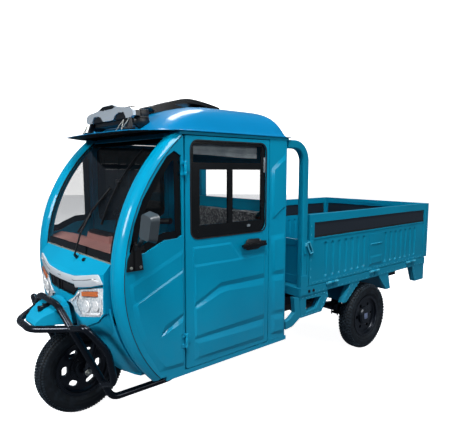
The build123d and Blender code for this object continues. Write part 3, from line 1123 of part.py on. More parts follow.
with BuildPart() as headboard:
    block((-BED_HALF, BOARD_FRONT - MOVING_GAP - HEADBOARD, BED_TOP + RUNNING_GAP),
          (BED_HALF, BOARD_FRONT - MOVING_GAP, HEADBOARD_TOP))
    block((-BED_HALF + 60, BOARD_FRONT - MOVING_GAP - HEADBOARD - 1, 700),
          (BED_HALF - 60, BOARD_FRONT - MOVING_GAP - HEADBOARD + 6, HEADBOARD_TOP - 50), mode=Mode.SUBTRACT)
save(headboard, "headboard")

# Guard hoops that tie the back of the cab to the front corners of the bed.
POST = 50.0
POST_DEPTH = 55.0
POST_REAR = BOARD_FRONT - MOVING_GAP - HEADBOARD - RUNNING_GAP
HOOP_TUBE_TOP = 1640.0
with BuildPart() as guard_hoops:
    for side in (-1, 1):
        with BuildLine() as path:
            FilletPolyline(
                (side * (BED_HALF - POST / 2), POST_REAR - POST_DEPTH / 2, BED_TOP + RUNNING_GAP),
                (side * (BED_HALF - POST / 2), POST_REAR - POST_DEPTH / 2, HOOP_TUBE_TOP - POST_DEPTH / 2),
                (side * (BED_HALF - POST / 2), CAB_REAR + RUNNING_GAP, HOOP_TUBE_TOP - POST_DEPTH / 2),
                radius=110,
            )
        with BuildSketch(Plane(origin=path.line @ 0, x_dir=(1, 0, 0), z_dir=(0, 0, 1))) as section:
            RectangleRounded(POST, POST_DEPTH, 10)
        sweep(section.sketch, path=path.line)
        near = min(side * (BED_HALF - 1), side * (BED_HALF + 5))
        block((near, POST_REAR - POST_DEPTH - 12, BED_TOP + RUNNING_GAP), (near + 6, POST_REAR, 722))
        near = min(side * (BED_HALF + RUNNING_GAP), side * (BED_HALF + 5))
        block((near, POST_REAR - POST_DEPTH - 12, BED_BOTTOM + 8),
              (near + 5 - RUNNING_GAP, POST_REAR, BED_TOP + RUNNING_GAP + 1))
save(guard_hoops, "guard_hoops")

with BuildPart() as tail_lamps:
    block((430, BED_REAR + RUNNING_GAP, 470), (560, BED_REAR + 24, 560))
    fillet(tail_lamps.edges().filter_by(Axis.Y), 10)
    mirror(about=Plane.YZ)
save(tail_lamps, "tail_lamps")
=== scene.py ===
from math import cos, pi, radians, sin

import bmesh
import bpy
from mathutils import Matrix, Vector, noise


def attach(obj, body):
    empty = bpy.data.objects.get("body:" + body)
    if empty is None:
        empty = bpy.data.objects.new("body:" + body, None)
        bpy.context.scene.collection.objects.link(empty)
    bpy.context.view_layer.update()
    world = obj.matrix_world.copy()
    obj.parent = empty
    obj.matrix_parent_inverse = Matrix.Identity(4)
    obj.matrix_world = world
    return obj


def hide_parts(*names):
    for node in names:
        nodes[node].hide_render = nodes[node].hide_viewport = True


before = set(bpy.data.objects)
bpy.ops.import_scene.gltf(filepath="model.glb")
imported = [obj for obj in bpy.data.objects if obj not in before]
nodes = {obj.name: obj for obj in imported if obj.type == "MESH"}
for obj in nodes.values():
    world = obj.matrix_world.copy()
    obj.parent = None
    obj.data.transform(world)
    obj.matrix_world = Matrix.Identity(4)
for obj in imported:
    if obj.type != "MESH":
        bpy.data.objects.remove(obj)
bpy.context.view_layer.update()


# ---- Camera, floor and studio light ----
# The vehicle stands on a white studio floor under soft boxes, seen from its front left
# corner at about the eye height of a standing person.
CAMERA_PLACE = (2.578, -1.047, 1.450)
CAMERA_TURN = 49.28
CAMERA_DIP = 6.12
CAMERA_ROLL = 0.15
STUDIO_RADIUS = 24.0
WALL_HEIGHT = 40.0


def show(name, data):
    """Puts new data in the scene as an object of the same name."""
    shown = bpy.data.objects.new(name, data)
    bpy.context.scene.collection.objects.link(shown)
    return shown


camera = show("studio_camera", bpy.data.cameras.new("studio_camera"))
camera.data.lens = 35.87
camera.data.sensor_width = 36
camera.data.clip_end = 200
camera.matrix_world = (
    Matrix.Translation(CAMERA_PLACE)
    @ Matrix.Rotation(radians(CAMERA_TURN), 4, "Z")
    @ Matrix.Rotation(radians(90 - CAMERA_DIP), 4, "X")
    @ Matrix.Rotation(radians(CAMERA_ROLL), 4, "Z")
)
bpy.context.scene.camera = camera


def linear(hex_colour):
    """An sRGB hex colour as linear red, green, blue and alpha."""
    parts = [int(hex_colour[i:i + 2], 16) / 255 for i in (1, 3, 5)]
    return tuple(c / 12.92 if c <= 0.04045 else ((c + 0.055) / 1.055) ** 2.4 for c in parts) + (1.0,)


def add_node(tree, kind, inputs, output=0, **settings):
    """Adds one shader node, with its settings and its inputs linked or set, and gives one output.

    A colour may be a hex value. Patterns and the axis splitter read the piece's Object coordinates.
    """
    made = tree.nodes.new("ShaderNode" + kind)
    for name, value in settings.items():
        setattr(made, name, value)
    if kind.startswith("Tex") or kind == "SeparateXYZ":
        tree.links.new(tree.nodes.new("ShaderNodeTexCoord").outputs["Object"], made.inputs["Vector"])
    for socket, value in inputs.items():
        if isinstance(value, bpy.types.NodeSocket):
            tree.links.new(value, made.inputs[socket])
        else:
            made.inputs[socket].default_value = linear(value) if isinstance(value, str) else value
    return made.outputs[output] if len(made.outputs) else None


def new_material(name, **sockets):
    """A material, its node tree and its surface shader, with the shader's own sockets set."""
    made = bpy.data.materials.new(name)
    made.use_nodes = True
    tree = made.node_tree
    tree.nodes.clear()
    surface = add_node(tree, "BsdfPrincipled", {
        socket.replace("_", " "): value for socket, value in sockets.items()
    })
    add_node(tree, "OutputMaterial", {"Surface": surface})
    return made, tree, surface.node


def drive(shader, field, tone=None, span=(0.0, 1.0), most=1.0, sheen=None, relief=None):
    """Lets a value set a surface's colour, roughness or relief.

    tone is two colours, mixed as the value crosses span, up to the share most. sheen is two
    roughnesses, and relief is a strength and a depth in metres.
    """
    tree = shader.id_data
    if tone:
        share = add_node(tree, "MapRange", {
            "Value": field, "From Min": span[0], "From Max": span[1], "To Max": most
        })
        mixed = add_node(tree, "Mix", {"Factor": share, "A": tone[0], "B": tone[1]}, "Result",
                         data_type="RGBA")
        tree.links.new(mixed, shader.inputs["Base Color"])
    if sheen:
        spread = add_node(tree, "MapRange", {"Value": field, "To Min": sheen[0], "To Max": sheen[1]})
        tree.links.new(spread, shader.inputs["Roughness"])
    if relief:
        bump = add_node(tree, "Bump", {"Height": field, "Strength": relief[0], "Distance": relief[1]})
        tree.links.new(bump, shader.inputs["Normal"])


def softbox(name, place, aim, size, power):
    """A soft rectangular studio light."""
    lamp = show(name, bpy.data.lights.new(name, "AREA"))
    lamp.data.shape = "RECTANGLE"
    lamp.data.size, lamp.data.size_y = size
    lamp.data.energy = power
    lamp.matrix_world = Matrix.Translation(place) @ (
        Vector(aim) - Vector(place)
    ).to_track_quat("-Z", "Y").to_matrix().to_4x4()


softbox("key_softbox", (4.0, -1.5, 9.5), (0.2, 0.9, 0.9), (4.2, 3.4), 900)
softbox("front_softbox", (0.6, -7.6, 4.2), (0, 0.2, 0.7), (3.2, 2.4), 560)
softbox("side_softbox", (7.0, 2.4, 3.4), (0, 1.6, 0.8), (4.0, 1.8), 125)
softbox("back_softbox", (-6.0, 4.6, 8.4), (0, 1.8, 0.8), (3.8, 3.0), 420)

world = bpy.data.worlds.new("studio_world")
world.use_nodes = True
world.node_tree.nodes["Background"].inputs["Color"].default_value = linear("#d9e8ff")
world.node_tree.nodes["Background"].inputs["Strength"].default_value = 0.14
bpy.context.scene.world = world
bpy.context.scene.view_settings.view_transform = "Standard"


def show_form(form, name, *paints):
    """Turns a shaped form into an object with its finishes."""
    mesh = bpy.data.meshes.new(name)
    form.to_mesh(mesh)
    form.free()
    for paint in paints:
        mesh.materials.append(paint)
    return show(name, mesh)


floor_form = bmesh.new()
bmesh.ops.create_circle(floor_form, cap_ends=True, segments=64, radius=STUDIO_RADIUS)
studio_floor = show_form(floor_form, "studio_floor", new_material(
    "studio_vinyl", Base_Color="#dfe3e6", Roughness=0.9, Specular_IOR_Level=0.0,
    Emission_Color="#ffffff", Emission_Strength=0.97,
)[0])

# The white cloth wall all round, lit from behind: seen directly and through the glass only.
wall_form = bmesh.new()
bmesh.ops.create_cone(wall_form, segments=64, radius1=STUDIO_RADIUS - 0.1, radius2=STUDIO_RADIUS - 0.1,
                      depth=WALL_HEIGHT, matrix=Matrix.Translation((0, 0, WALL_HEIGHT / 2 - 0.1)))
studio_wall = show_form(wall_form, "studio_wall", new_material(
    "studio_cloth", Base_Color="#000000", Roughness=1.0, Specular_IOR_Level=0.0,
    Emission_Color="#ffffff", Emission_Strength=1.7,
)[0])
studio_wall.visible_transmission = False
studio_wall.visible_shadow = False
for stage_piece in (studio_floor, studio_wall):
    stage_piece.visible_diffuse = False
    stage_piece.visible_glossy = False


# ---- Frame, axle and springs ----
# Ladder frame, rear axle, leaf springs and fork are mild steel in black stoving enamel: a
# satin film with an uneven sheen, greyed in patches by road dust.
def black_enamel(name, roughness, coat, dust):
    """Black stoving enamel with a fine uneven sheen and a film of dust."""
    paint, tree, shader = new_material(
        name, Roughness=roughness, Coat_Weight=coat, Coat_Roughness=0.12, Specular_IOR_Level=0.3,
        Specular_Tint="#b4c6ea",
    )
    patches = add_node(tree, "TexNoise", {"Scale": 7.0, "Detail": 5.0})
    drive(shader, patches, tone=("#080c11", "#464c52"), span=(0.5, 0.75), most=dust)
    grain = add_node(tree, "TexNoise", {"Scale": 45.0, "Detail": 4.0})
    drive(shader, grain, sheen=(roughness - 0.1, roughness + 0.12))
    return paint


def ribbed(name, axis, scale, relief, **sockets):
    """A moulding with fine ribs across one axis."""
    paint, tree, shader = new_material(name, **sockets)
    ribs = add_node(tree, "TexWave", {"Scale": scale}, "Fac", bands_direction=axis)
    drive(shader, ribs, relief=relief)
    return paint


def dress(names, paint, edge=None):
    """Gives CAD pieces one finish and, to an edge's width, takes the sharpness off their edges."""
    for name in names.split():
        shape = nodes[name]
        if not shape.material_slots:
            shape.data.materials.append(paint)
        for each in shape.material_slots:
            each.material = paint
        if edge:
            shape.modifiers.new("weld", "WELD").merge_threshold = 0.00002
            flat = shape.modifiers.new("flat", "DECIMATE")
            flat.decimate_type = "DISSOLVE"
            flat.angle_limit = radians(0.5)
            soft = shape.modifiers.new("soft", "BEVEL")
            soft.width = edge
            soft.segments = 2
            soft.limit_method = "ANGLE"
            soft.angle_limit = radians(28)


frame_black = black_enamel("frame_black", 0.45, 0.2, 0.25)
dress("chassis_frame rear_axle leaf_springs front_fork", frame_black, 0.002)
# The battery case is ribbed polypropylene.
battery_shell = ribbed("battery_shell", "Y", 6.0, (0.4, 0.004), Base_Color="#1b1d20", Roughness=0.6)
dress("battery_pack", battery_shell, 0.006)


# ---- Tyres ----
# Cross-ply 4.00-12 tyres, moulded in black rubber: a smooth side wall with two fine ribs, and
# a tread of small blocks in rows. The rubber is matt, a little blue-grey with fine dust.
WHEEL_RADIUS = 0.265
REAR_AXLE_Y = 2.158
HALF_TRACK = 0.538
CARCASS_TOP = 0.2590
BLOCK_CENTRE = 0.2618
GROOVE_SHADE_FROM = 0.2485
FRONT_BLOCKS = 92
REAR_BLOCKS = 64
SIDES = ((1, "left"), (-1, "right"))


def moulded_rubber(name, clean, dusty):
    """Tyre rubber with a film of fine dust; mould grain of 0.4 mm is drawn at 2 mm so that it shows."""
    paint, tree, shader = new_material(name, Roughness=0.7, Specular_IOR_Level=0.35)
    dust = add_node(tree, "TexNoise", {"Scale": 26.0, "Detail": 6.0})
    drive(shader, dust, tone=(clean, dusty), span=(0.45, 0.8), most=0.35)
    drive(shader, add_node(tree, "TexNoise", {"Scale": 500.0, "Detail": 2.0}), relief=(0.3, 0.0004))
    return paint


# Side wall, block tops scuffed paler by the road, and the floor of the grooves darkened as painted shade.
tyre_rubbers = (
    moulded_rubber("tyre_rubber", "#091017", "#32434f"),
    moulded_rubber("worn_tread_rubber", "#17222b", "#50606c"),
    moulded_rubber("groove_painted_shade", "#020406", "#10161c"),
)


def finish_piece(form, name, paints, body, crease=35):
    """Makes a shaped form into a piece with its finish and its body."""
    bmesh.ops.recalc_face_normals(form, faces=form.faces)
    piece = show_form(form, name, *(paints if isinstance(paints, tuple) else (paints,)))
    piece.data.shade_smooth()
    piece.data.set_sharp_from_angle(angle=radians(crease))
    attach(piece, body)
    return piece


def tread_row(form, centre, across, radius, blocks, size, skew, lean, phase):
    """One ring of tread blocks: skew turns each block, lean tips it over the shoulder."""
    for index in range(blocks):
        turn = 2 * pi * (index + phase) / blocks
        block = bmesh.ops.create_cube(form, size=1.0, matrix=(
            Matrix.Translation(centre) @ Matrix.Rotation(turn, 4, "X")
            @ Matrix.Translation((across, 0, radius)) @ Matrix.Rotation(lean, 4, "Y")
            @ Matrix.Rotation(skew, 4, "Z") @ Matrix.Diagonal((*size, 1))
        ))
        for face in {face for corner in block["verts"] for face in corner.link_faces}:
            face.material_index = 1


def tyre_form(centre):
    """The carcass of a tyre, spun from its section."""
    form = bmesh.new()
    half = [
        (0.0, CARCASS_TOP), (0.020, 0.2583), (0.036, 0.2545), (0.0465, 0.2460), (0.0510, 0.2350),
        (0.0522, 0.2220), (0.0512, 0.2080), (0.0518, 0.2065), (0.0508, 0.2050), (0.0480, 0.1900),
        (0.0486, 0.1885), (0.0474, 0.1870), (0.0420, 0.1740), (0.0365, 0.1660), (0.0362, 0.1526),
        (0.0260, 0.1526), (0.0300, 0.1900), (0.0180, 0.2380), (0.0, 0.2440),
    ]
    section = half + [(-a, r) for a, r in reversed(half[1:-1])]
    ring = [form.verts.new((centre[0] + a, centre[1], centre[2] + r)) for a, r in section]
    wire = [form.edges.new((ring[i], ring[(i + 1) % len(ring)])) for i in range(len(ring))]
    bmesh.ops.spin(form, geom=ring + wire, cent=centre, axis=(1, 0, 0), angle=2 * pi, steps=96,
                   use_merge=True)
    bmesh.ops.remove_doubles(form, verts=form.verts, dist=0.00005)
    # Faces between the blocks take the darkest rubber: painted shade in the grooves.
    for face in form.faces:
        if (face.calc_center_median() - Vector(centre)).yz.length > GROOVE_SHADE_FROM:
            face.material_index = 2
    return form


front_hub = (0, 0, WHEEL_RADIUS)
front_tread = tyre_form(front_hub)
for across, radius, size, skew, lean, phase in (
    (-0.0185, BLOCK_CENTRE, (0.0135, 0.0115, 0.0062), 0.35, 0, 0.0),
    (0.0, BLOCK_CENTRE, (0.0135, 0.0115, 0.0062), -0.35, 0, 0.5),
    (0.0185, BLOCK_CENTRE, (0.0135, 0.0115, 0.0062), 0.35, 0, 0.0),
    (-0.0365, 0.2572, (0.0150, 0.0105, 0.0062), 0, -0.42, 0.5),
    (0.0365, 0.2572, (0.0150, 0.0105, 0.0062), 0, 0.42, 0.5),
    (-0.0482, 0.2450, (0.0100, 0.0085, 0.0040), 0, -1.0, 0.0),
    (0.0482, 0.2450, (0.0100, 0.0085, 0.0040), 0, 1.0, 0.0),
):
    tread_row(front_tread, front_hub, across, radius, FRONT_BLOCKS, size, skew, lean, phase)
front_piece = finish_piece(front_tread, "front_tyre_tread", tyre_rubbers, "front_wheel")
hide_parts("front_tyre")

for side, hand in SIDES:
    hub = (side * HALF_TRACK, REAR_AXLE_Y, WHEEL_RADIUS)
    lugs = tyre_form(hub)
    tread_row(lugs, hub, 0.0, BLOCK_CENTRE, REAR_BLOCKS, (0.0150, 0.0170, 0.0062), 0.5, 0, 0.0)
    for edge in (-1, 1):
        for across, radius, size, skew, lean, phase in (
            (0.0190, BLOCK_CENTRE - 0.0004, (0.0150, 0.0160, 0.0062), 0.4, 0.1, 0.5),
            (0.0375, 0.2562, (0.0180, 0.0150, 0.0070), 0.25, 0.46, 0.0),
            (0.0492, 0.2425, (0.0150, 0.0120, 0.0046), 0, 1.08, 0.25),
        ):
            tread_row(lugs, hub, edge * across, radius, REAR_BLOCKS, size, edge * skew, edge * lean,
                      phase)
    lug_piece = finish_piece(lugs, f"rear_tyre_tread_{hand}", tyre_rubbers, f"rear_wheel_{hand}")
    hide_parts(f"rear_tyre_{hand}")


# ---- Rims, hub nuts and caps ----
# Rolled and welded steel rims in gloss black enamel. Nuts and bolts are zinc plated, and each
# rear hub has a plain pressed cap with a blank square of foil on it, before the brake drum.
rim_black = black_enamel("rim_black", 0.3, 0.7, 0.3)
dress("front_rim rear_rim_left rear_rim_right", rim_black, 0.0012)
zinc_plate, zinc_tree, zinc_shader = new_material("zinc_plate", Base_Color="#b9bcb6", Metallic=1.0)
drive(zinc_shader, add_node(zinc_tree, "TexNoise", {"Scale": 120.0}), sheen=(0.25, 0.5))
# Aluminium foil under a clear film.
hub_foil = new_material("hub_foil", Base_Color="#7f8bab", Roughness=0.35, Metallic=0.3)[0]


def hex_bolt(form, head, out, radius, height):
    """A hexagon head on a washer: head is its seat, out the way that it faces."""
    aim = Vector(out).to_track_quat("Z", "Y").to_matrix().to_4x4()
    for sides, wide, low, tall in ((20, 1.35, 0.0, 0.25), (6, 1.0, 0.25, 0.8), (12, 0.55, 1.0, 0.35)):
        seat = Matrix.Translation(head) @ aim @ Matrix.Translation((0, 0, (low + tall / 2) * height))
        bmesh.ops.create_cone(form, cap_ends=True, segments=sides, radius1=wide * radius,
                              radius2=(wide - 0.08) * radius, depth=tall * height, matrix=seat)


def round_off(form, geom, offset, segments, affect="EDGES"):
    """Rounds edges, or the corners of a flat outline."""
    bmesh.ops.bevel(form, geom=list(geom), offset=offset, offset_type="OFFSET", segments=segments,
                    profile=0.5, affect=affect, material=-1)


def soft_box(form, low, high, edge=0.0):
    """A box between two corners, with its edges rounded."""
    made = bmesh.ops.create_cube(form, size=1.0, matrix=(
        Matrix.Translation([(a + b) / 2 for a, b in zip(low, high)])
        @ Matrix.Diagonal([abs(b - a) for a, b in zip(low, high)] + [1])
    ))["verts"]
    if edge:
        round_off(form, {e for v in made for e in v.link_edges}, edge, 2)
    return made


def box_piece(name, paint, body, slot, *boxes):
    """A piece made of soft boxes, each given by its two corners and its edges' radius."""
    form = bmesh.new()
    for low, high, edge in boxes:
        soft_box(form, low, high, edge)
    return finish_piece(form, name, paint, body)


def rod(form, start, end, radius, sides, tip=None):
    """A round bar or disc from one point to another, narrowed to its tip's radius."""
    run = Vector(end) - Vector(start)
    aim = run.to_track_quat("Z", "X").to_matrix().to_4x4()
    bmesh.ops.create_cone(form, cap_ends=True, segments=sides, radius1=radius, radius2=tip or radius,
                          depth=run.length, matrix=Matrix.Translation(Vector(start) + run / 2) @ aim)


axle_nuts = bmesh.new()
drum_bolts = bmesh.new()
for side in (-1, 1):
    hex_bolt(axle_nuts, (side * 0.1115, 0, WHEEL_RADIUS), (side, 0, 0), 0.0155, 0.013)
    for index in range(6):
        turn = 2 * pi * index / 6
        seat = (side * 0.0258, 0.060 * cos(turn), WHEEL_RADIUS + 0.060 * sin(turn))
        hex_bolt(drum_bolts, seat, (side, 0, 0), 0.006, 0.006)
finish_piece(axle_nuts, "axle_nuts", zinc_plate, "steering")
finish_piece(drum_bolts, "drum_bolts", rim_black, "front_wheel")

for side, hand in SIDES:
    hub_cap = bmesh.new()
    for start, end, wide, narrow in (
        (0.545, 0.567, 0.0760, 0.0720), (0.567, 0.5754, 0.0720, 0.0600), (0.495, 0.515, 0.128, 0.128),
    ):
        rod(hub_cap, (side * start, REAR_AXLE_Y, WHEEL_RADIUS), (side * end, REAR_AXLE_Y, WHEEL_RADIUS),
            wide, 48, narrow)
    finish_piece(hub_cap, f"hub_cap_{hand}", rim_black, f"rear_wheel_{hand}")
    box_piece(f"hub_foil_{hand}", hub_foil, f"rear_wheel_{hand}", "silver_plastic",
              ((side * 0.5758, 2.136, 0.240), (side * 0.5772, 2.180, 0.286), 0.0006))


# ---- Front guard ----
# Bent steel tube, 38 mm, in thick gloss black: two loops before the fender and one round each
# side of the wheel, bolted under the cab. A clamp ties the upper loop to the fender.
GUARD_TUBE = 0.019
JOINT = (0.273, -0.156, 0.609)
STRUT_JOINT = (0.334, -0.018, 0.285)
guard_black = black_enamel("guard_black", 0.24, 0.45, 0.06)


def mirrored(side, points):
    """Points given for the vehicle's left, taken to one side of it."""
    return [(side * x, y, z) for x, y, z in points]


def tube_piece(name, radius, facets, runs, paint):
    """A piece of round tube on the chassis. Each run is its corners, and the bend round each."""
    curve = bpy.data.curves.new(name, "CURVE")
    curve.dimensions = "3D"
    curve.bevel_depth = radius
    curve.bevel_resolution = facets
    curve.use_fill_caps = True
    for corners, bend in runs:
        route = [Vector(corners[0])]
        for before, corner, after in zip(corners, corners[1:], corners[2:]):
            here = Vector(corner)
            for other in (before, after):
                run = Vector(other) - here
                route.append(here + run * min(0.48, bend / run.length))
            route.insert(-1, here)
        route.append(Vector(corners[-1]))
        spline = curve.splines.new("NURBS")
        spline.points.add(len(route) - 1)
        for point, place in zip(spline.points, route):
            point.co = (*place, 1)
        spline.order_u = 3
        spline.use_endpoint_u = True
        spline.resolution_u = 8
    curve.materials.append(paint)
    piece = show(name, curve)
    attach(piece, "chassis")
    return piece


far_joint = mirrored(-1, [JOINT])[0]
guard_runs = [
    ((far_joint, (-0.101, -0.314, 0.595), (0.101, -0.314, 0.595), JOINT), 0.12),
    ((far_joint, (-0.140, -0.176, 0.712), (0.140, -0.176, 0.712), JOINT), 0.11),
]
for side in (-1, 1):
    guard_runs.append((mirrored(side, (
        JOINT, (0.405, -0.135, 0.645), (0.438, -0.030, 0.500), (0.432, 0.004, 0.318), STRUT_JOINT
    )), 0.10))
    guard_runs.append((mirrored(side, (
        JOINT, (0.343, 0.032, 0.192), (0.345, 0.420, 0.192), (0.345, 0.420, 0.244)
    )), 0.09))
guard_tubes = tube_piece("guard_tubes", GUARD_TUBE, 6, guard_runs, guard_black)
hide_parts("bumper_guard")

box_piece("fender_clamp", guard_black, "chassis", "black_paint",
          ((-0.022, -0.206, 0.676), (0.022, -0.152, 0.690), 0.003),
          ((-0.014, -0.236, 0.655), (0.014, -0.196, 0.682), 0.004))
guard_plates = bmesh.new()
guard_bolts = bmesh.new()
for side in (-1, 1):
    soft_box(guard_plates, (side * 0.290, 0.388, 0.240), (side * 0.365, 0.452, 0.2547), 0.002)
    # A bead of weld closes each joint where the loops and the strut meet.
    for place, size in zip(mirrored(side, (JOINT, STRUT_JOINT)), (0.0235, 0.0215)):
        bmesh.ops.create_icosphere(guard_plates, subdivisions=3, radius=size,
                                   matrix=Matrix.Translation(place) @ Matrix.Diagonal((1, 1, 0.86, 1)))
    for y in (0.398, 0.442):
        for x in (0.300, 0.355):
            hex_bolt(guard_bolts, (side * x, y, 0.2395), (0, 0, -1), 0.008, 0.007)
finish_piece(guard_plates, "guard_plates", guard_black, "chassis")
finish_piece(guard_bolts, "guard_bolts", zinc_plate, "chassis")


# ---- Cab panels ----
# The cab is pressed sheet steel in teal-blue two-pack enamel, sprayed and baked: a deep even
# colour under a clear gloss coat, with a faint orange peel and road dust low down.
PEEL_WAVE = 0.009
PEEL_DEPTH = 0.00004


def enamel(name, colour, shade, roughness, coat, dust):
    """Gloss enamel with orange peel, slight drift of tone, and dust that gathers low down."""
    paint, tree, shader = new_material(
        name, Roughness=roughness, Coat_Weight=coat, Coat_Roughness=0.09, Specular_IOR_Level=0.05
    )
    patches = add_node(tree, "TexNoise", {"Scale": 1.6, "Detail": 3.0})
    drift = add_node(tree, "MapRange", {"Value": patches, "From Min": 0.35, "From Max": 0.65})
    base = add_node(tree, "Mix", {"Factor": drift, "A": colour, "B": shade}, "Result", data_type="RGBA")
    level = add_node(tree, "SeparateXYZ", {}, "Z")
    low = add_node(tree, "MapRange", {"Value": level, "From Min": 0.80, "From Max": 0.28, "To Max": dust})
    specks = add_node(tree, "TexNoise", {"Scale": 11.0, "Detail": 7.0, "Roughness": 0.7})
    film = add_node(tree, "Math", {0: low, 1: specks}, operation="MULTIPLY")
    drive(shader, film, tone=(base, "#6d7b7c"), sheen=(roughness, roughness + 0.4))
    peel = add_node(tree, "TexNoise", {"Scale": 1 / PEEL_WAVE, "Detail": 1.0})
    drive(shader, peel, relief=(0.3, PEEL_DEPTH))
    return paint


body_enamel = enamel("body_enamel", "#0096bd", "#008bb1", 0.34, 0.4, 0.2)
dress("cab_rear_wall cab_tub cab_frame", body_enamel)
dress("quarter_panels corner_panels door_left door_right nose_panel front_fender", body_enamel, 0.0035)
dress("door_hinges", body_enamel, 0.001)

# A smooth pressed apron covers each leg shield, and a chin fills the corner under the nose.
LOWER_HOOP_Y = 0.795
HOOP_LEVEL = 0.870
APRON_START, APRON_STEP, APRON_END = 9.5, 15.8, 39.5
APRON_EDGE = 0.39
APRON = (
    (0.2265, 0.8815), (0.262, 0.8812), (0.296, 0.8795), (0.326, 0.8750), (0.352, 0.8685),
    (0.376, 0.8608), (0.398, 0.8530), (0.424, 0.8440), (0.448, 0.8358), (0.4655, 0.8305),
)
CHIN_TOP = (
    (0.236, -0.084, 0.607), (0.300, -0.075, 0.618), (0.350, -0.067, 0.640), (0.400, -0.057, 0.663),
    (0.444, -0.050, 0.706), (0.4510, -0.020, 0.714), (0.4520, 0.006, 0.716),
)
CHIN_FOOT = (
    (0.236, 0.8800, 20.0), (0.300, 0.8780, 20.6), (0.350, 0.8680, 21.2), (0.400, 0.8510, 21.2),
    (0.440, 0.8370, 20.0), (0.454, 0.8320, 17.5), (0.4600, 0.8300, 14.5),
)


def apron_point(x, reach, angle):
    """A point of the apron: its reach from the lower hoops' centre, and its angle below their level."""
    turn = radians(angle)
    return Vector((x, LOWER_HOOP_Y - reach * cos(turn), HOOP_LEVEL - reach * sin(turn)))


def joined(form, rail):
    """The edges that join a row of corners."""
    return [form.edges.new(pair) for pair in zip(rail, rail[1:])]


apron_form = bmesh.new()
chin_form = bmesh.new()
for side in (-1, 1):
    for start, end, inner in ((APRON_START, APRON_STEP, APRON_EDGE), (APRON_STEP, APRON_END, 0.0)):
        rail = [
            apron_form.verts.new(apron_point(side * x, reach, start)) for x, reach in APRON if x > inner
        ]
        bmesh.ops.spin(apron_form, geom=joined(apron_form, rail), cent=(0, LOWER_HOOP_Y, HOOP_LEVEL),
                       axis=(1, 0, 0), angle=radians(end - start), steps=int((end - start) * 1.5))
    rails = []
    for bulge, share in ((0, 0), (0.007, 0.35), (0.005, 0.7), (0, 1)):
        rail = []
        for top, foot in zip(CHIN_TOP, CHIN_FOOT):
            spot = Vector(top).lerp(apron_point(*foot), share) + Vector((0, -bulge, -bulge * 0.6))
            rail.append(chin_form.verts.new((side * spot.x, spot.y, spot.z)))
        rails.append(joined(chin_form, rail))
    for first, second in zip(rails, rails[1:]):
        bmesh.ops.bridge_loops(chin_form, edges=first + second)
bmesh.ops.remove_doubles(apron_form, verts=apron_form.verts, dist=0.0002)
for name, form in (("apron_skins", apron_form), ("nose_chins", chin_form)):
    bmesh.ops.recalc_face_normals(form, faces=form.faces)
    bmesh.ops.solidify(form, geom=list(form.faces), thickness=0.0015)
    pressed = finish_piece(form, name, body_enamel, "chassis", crease=70)
chin_round = pressed.modifiers.new("round", "SUBSURF")
chin_round.levels = chin_round.render_levels = 2


# ---- Roof ----
# One large glass-fibre moulding: a flat rim with a bowed visor and a smooth dome with rounded
# shoulders. Its enamel is a bluer, darker copy of the steel's blue, a painted reflection of the
# sky and painted shade under the strong top light. Its black underside is painted shade.
ROOF_HALF = 0.600
ROOF_REAR = 1.190
RIM_TOP = 1.654
DOME_HALF = 0.585
DOME_RISE = 0.195
DOME_FRONT = 0.250
DOME_TOP_Y = 0.980
DOME_REAR = 1.178
CORNER_POWER = 2.6
ROOF_STEPS = (96, 110)


def visor_edge(x):
    """How far forward the roof's front edge reaches at a distance from the centre."""
    return 0.094 + max(0.030 * (x / 0.400) ** 2, 1.0 * (abs(x) - 0.394))


def dome_height(x, y):
    """The dome's height over its rim: a flat cross arch and a side outline, joined round the corners."""
    out = min(abs(x) / DOME_HALF, 1.0)
    arch = 1 - 0.40 * out ** 2 - 0.60 * out ** 9
    if y < DOME_TOP_Y:
        away = min(max((DOME_TOP_Y - y) / (DOME_TOP_Y - DOME_FRONT), 0.0), 1.0)
        slope = 1 - away ** 3.2
    else:
        away = min((y - DOME_TOP_Y) / (DOME_REAR - DOME_TOP_Y), 1.0)
        slope = 1 - away ** 4.8
    drop = ((1 - arch) ** CORNER_POWER + (1 - slope) ** CORNER_POWER) ** (1 / CORNER_POWER)
    return DOME_RISE * max(0.0, 1 - drop)


def moulded_plastic(name, colour, roughness, grain, depth):
    """Injection-moulded plastic with a fine leather-like grain, at the grain's size in metres."""
    paint, tree, shader = new_material(name, Base_Color=colour, Roughness=roughness)
    drive(shader, add_node(tree, "TexVoronoi", {"Scale": 1 / grain}), relief=(0.5, depth))
    patches = add_node(tree, "TexNoise", {"Scale": 14.0, "Detail": 3.0})
    drive(shader, patches, sheen=(roughness - 0.08, roughness + 0.08))
    return paint


# The roof's bluer, darker enamel is a painted sky reflection and painted shade.
roof_painted_reflection = enamel("roof_painted_reflection", "#057bb0", "#0474a6", 0.34, 0.3, 0.0)
# Black on the roof's underside and the visor's underside: painted shade.
underside_painted_shade = moulded_plastic("underside_painted_shade", "#0a0e12", 0.7, 0.004, 0.0003)
roof_form = bmesh.new()
bmesh.ops.create_grid(roof_form, x_segments=ROOF_STEPS[0], y_segments=ROOF_STEPS[1], size=0.5)
for corner in roof_form.verts:
    x = 2 * ROOF_HALF * corner.co.x
    edge = visor_edge(x)
    y = edge + (ROOF_REAR - edge) * (corner.co.y + 0.5)
    corner.co = Vector((x, y, RIM_TOP + dome_height(x, y)))
inner_corners = [corner for corner in roof_form.verts if not corner.is_boundary]
for turn in range(2):
    bmesh.ops.smooth_vert(roof_form, verts=inner_corners, factor=0.5, use_axis_z=True)
roof_piece = finish_piece(roof_form, "roof_skin", (roof_painted_reflection, underside_painted_shade), "chassis",
                          crease=60)
roof_wall = roof_piece.modifiers.new("wall", "SOLIDIFY")
roof_wall.thickness = 0.004
roof_wall.offset = -1
# The wall's inner side takes the black painted shade.
roof_wall.material_offset = 1
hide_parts("roof_panel")


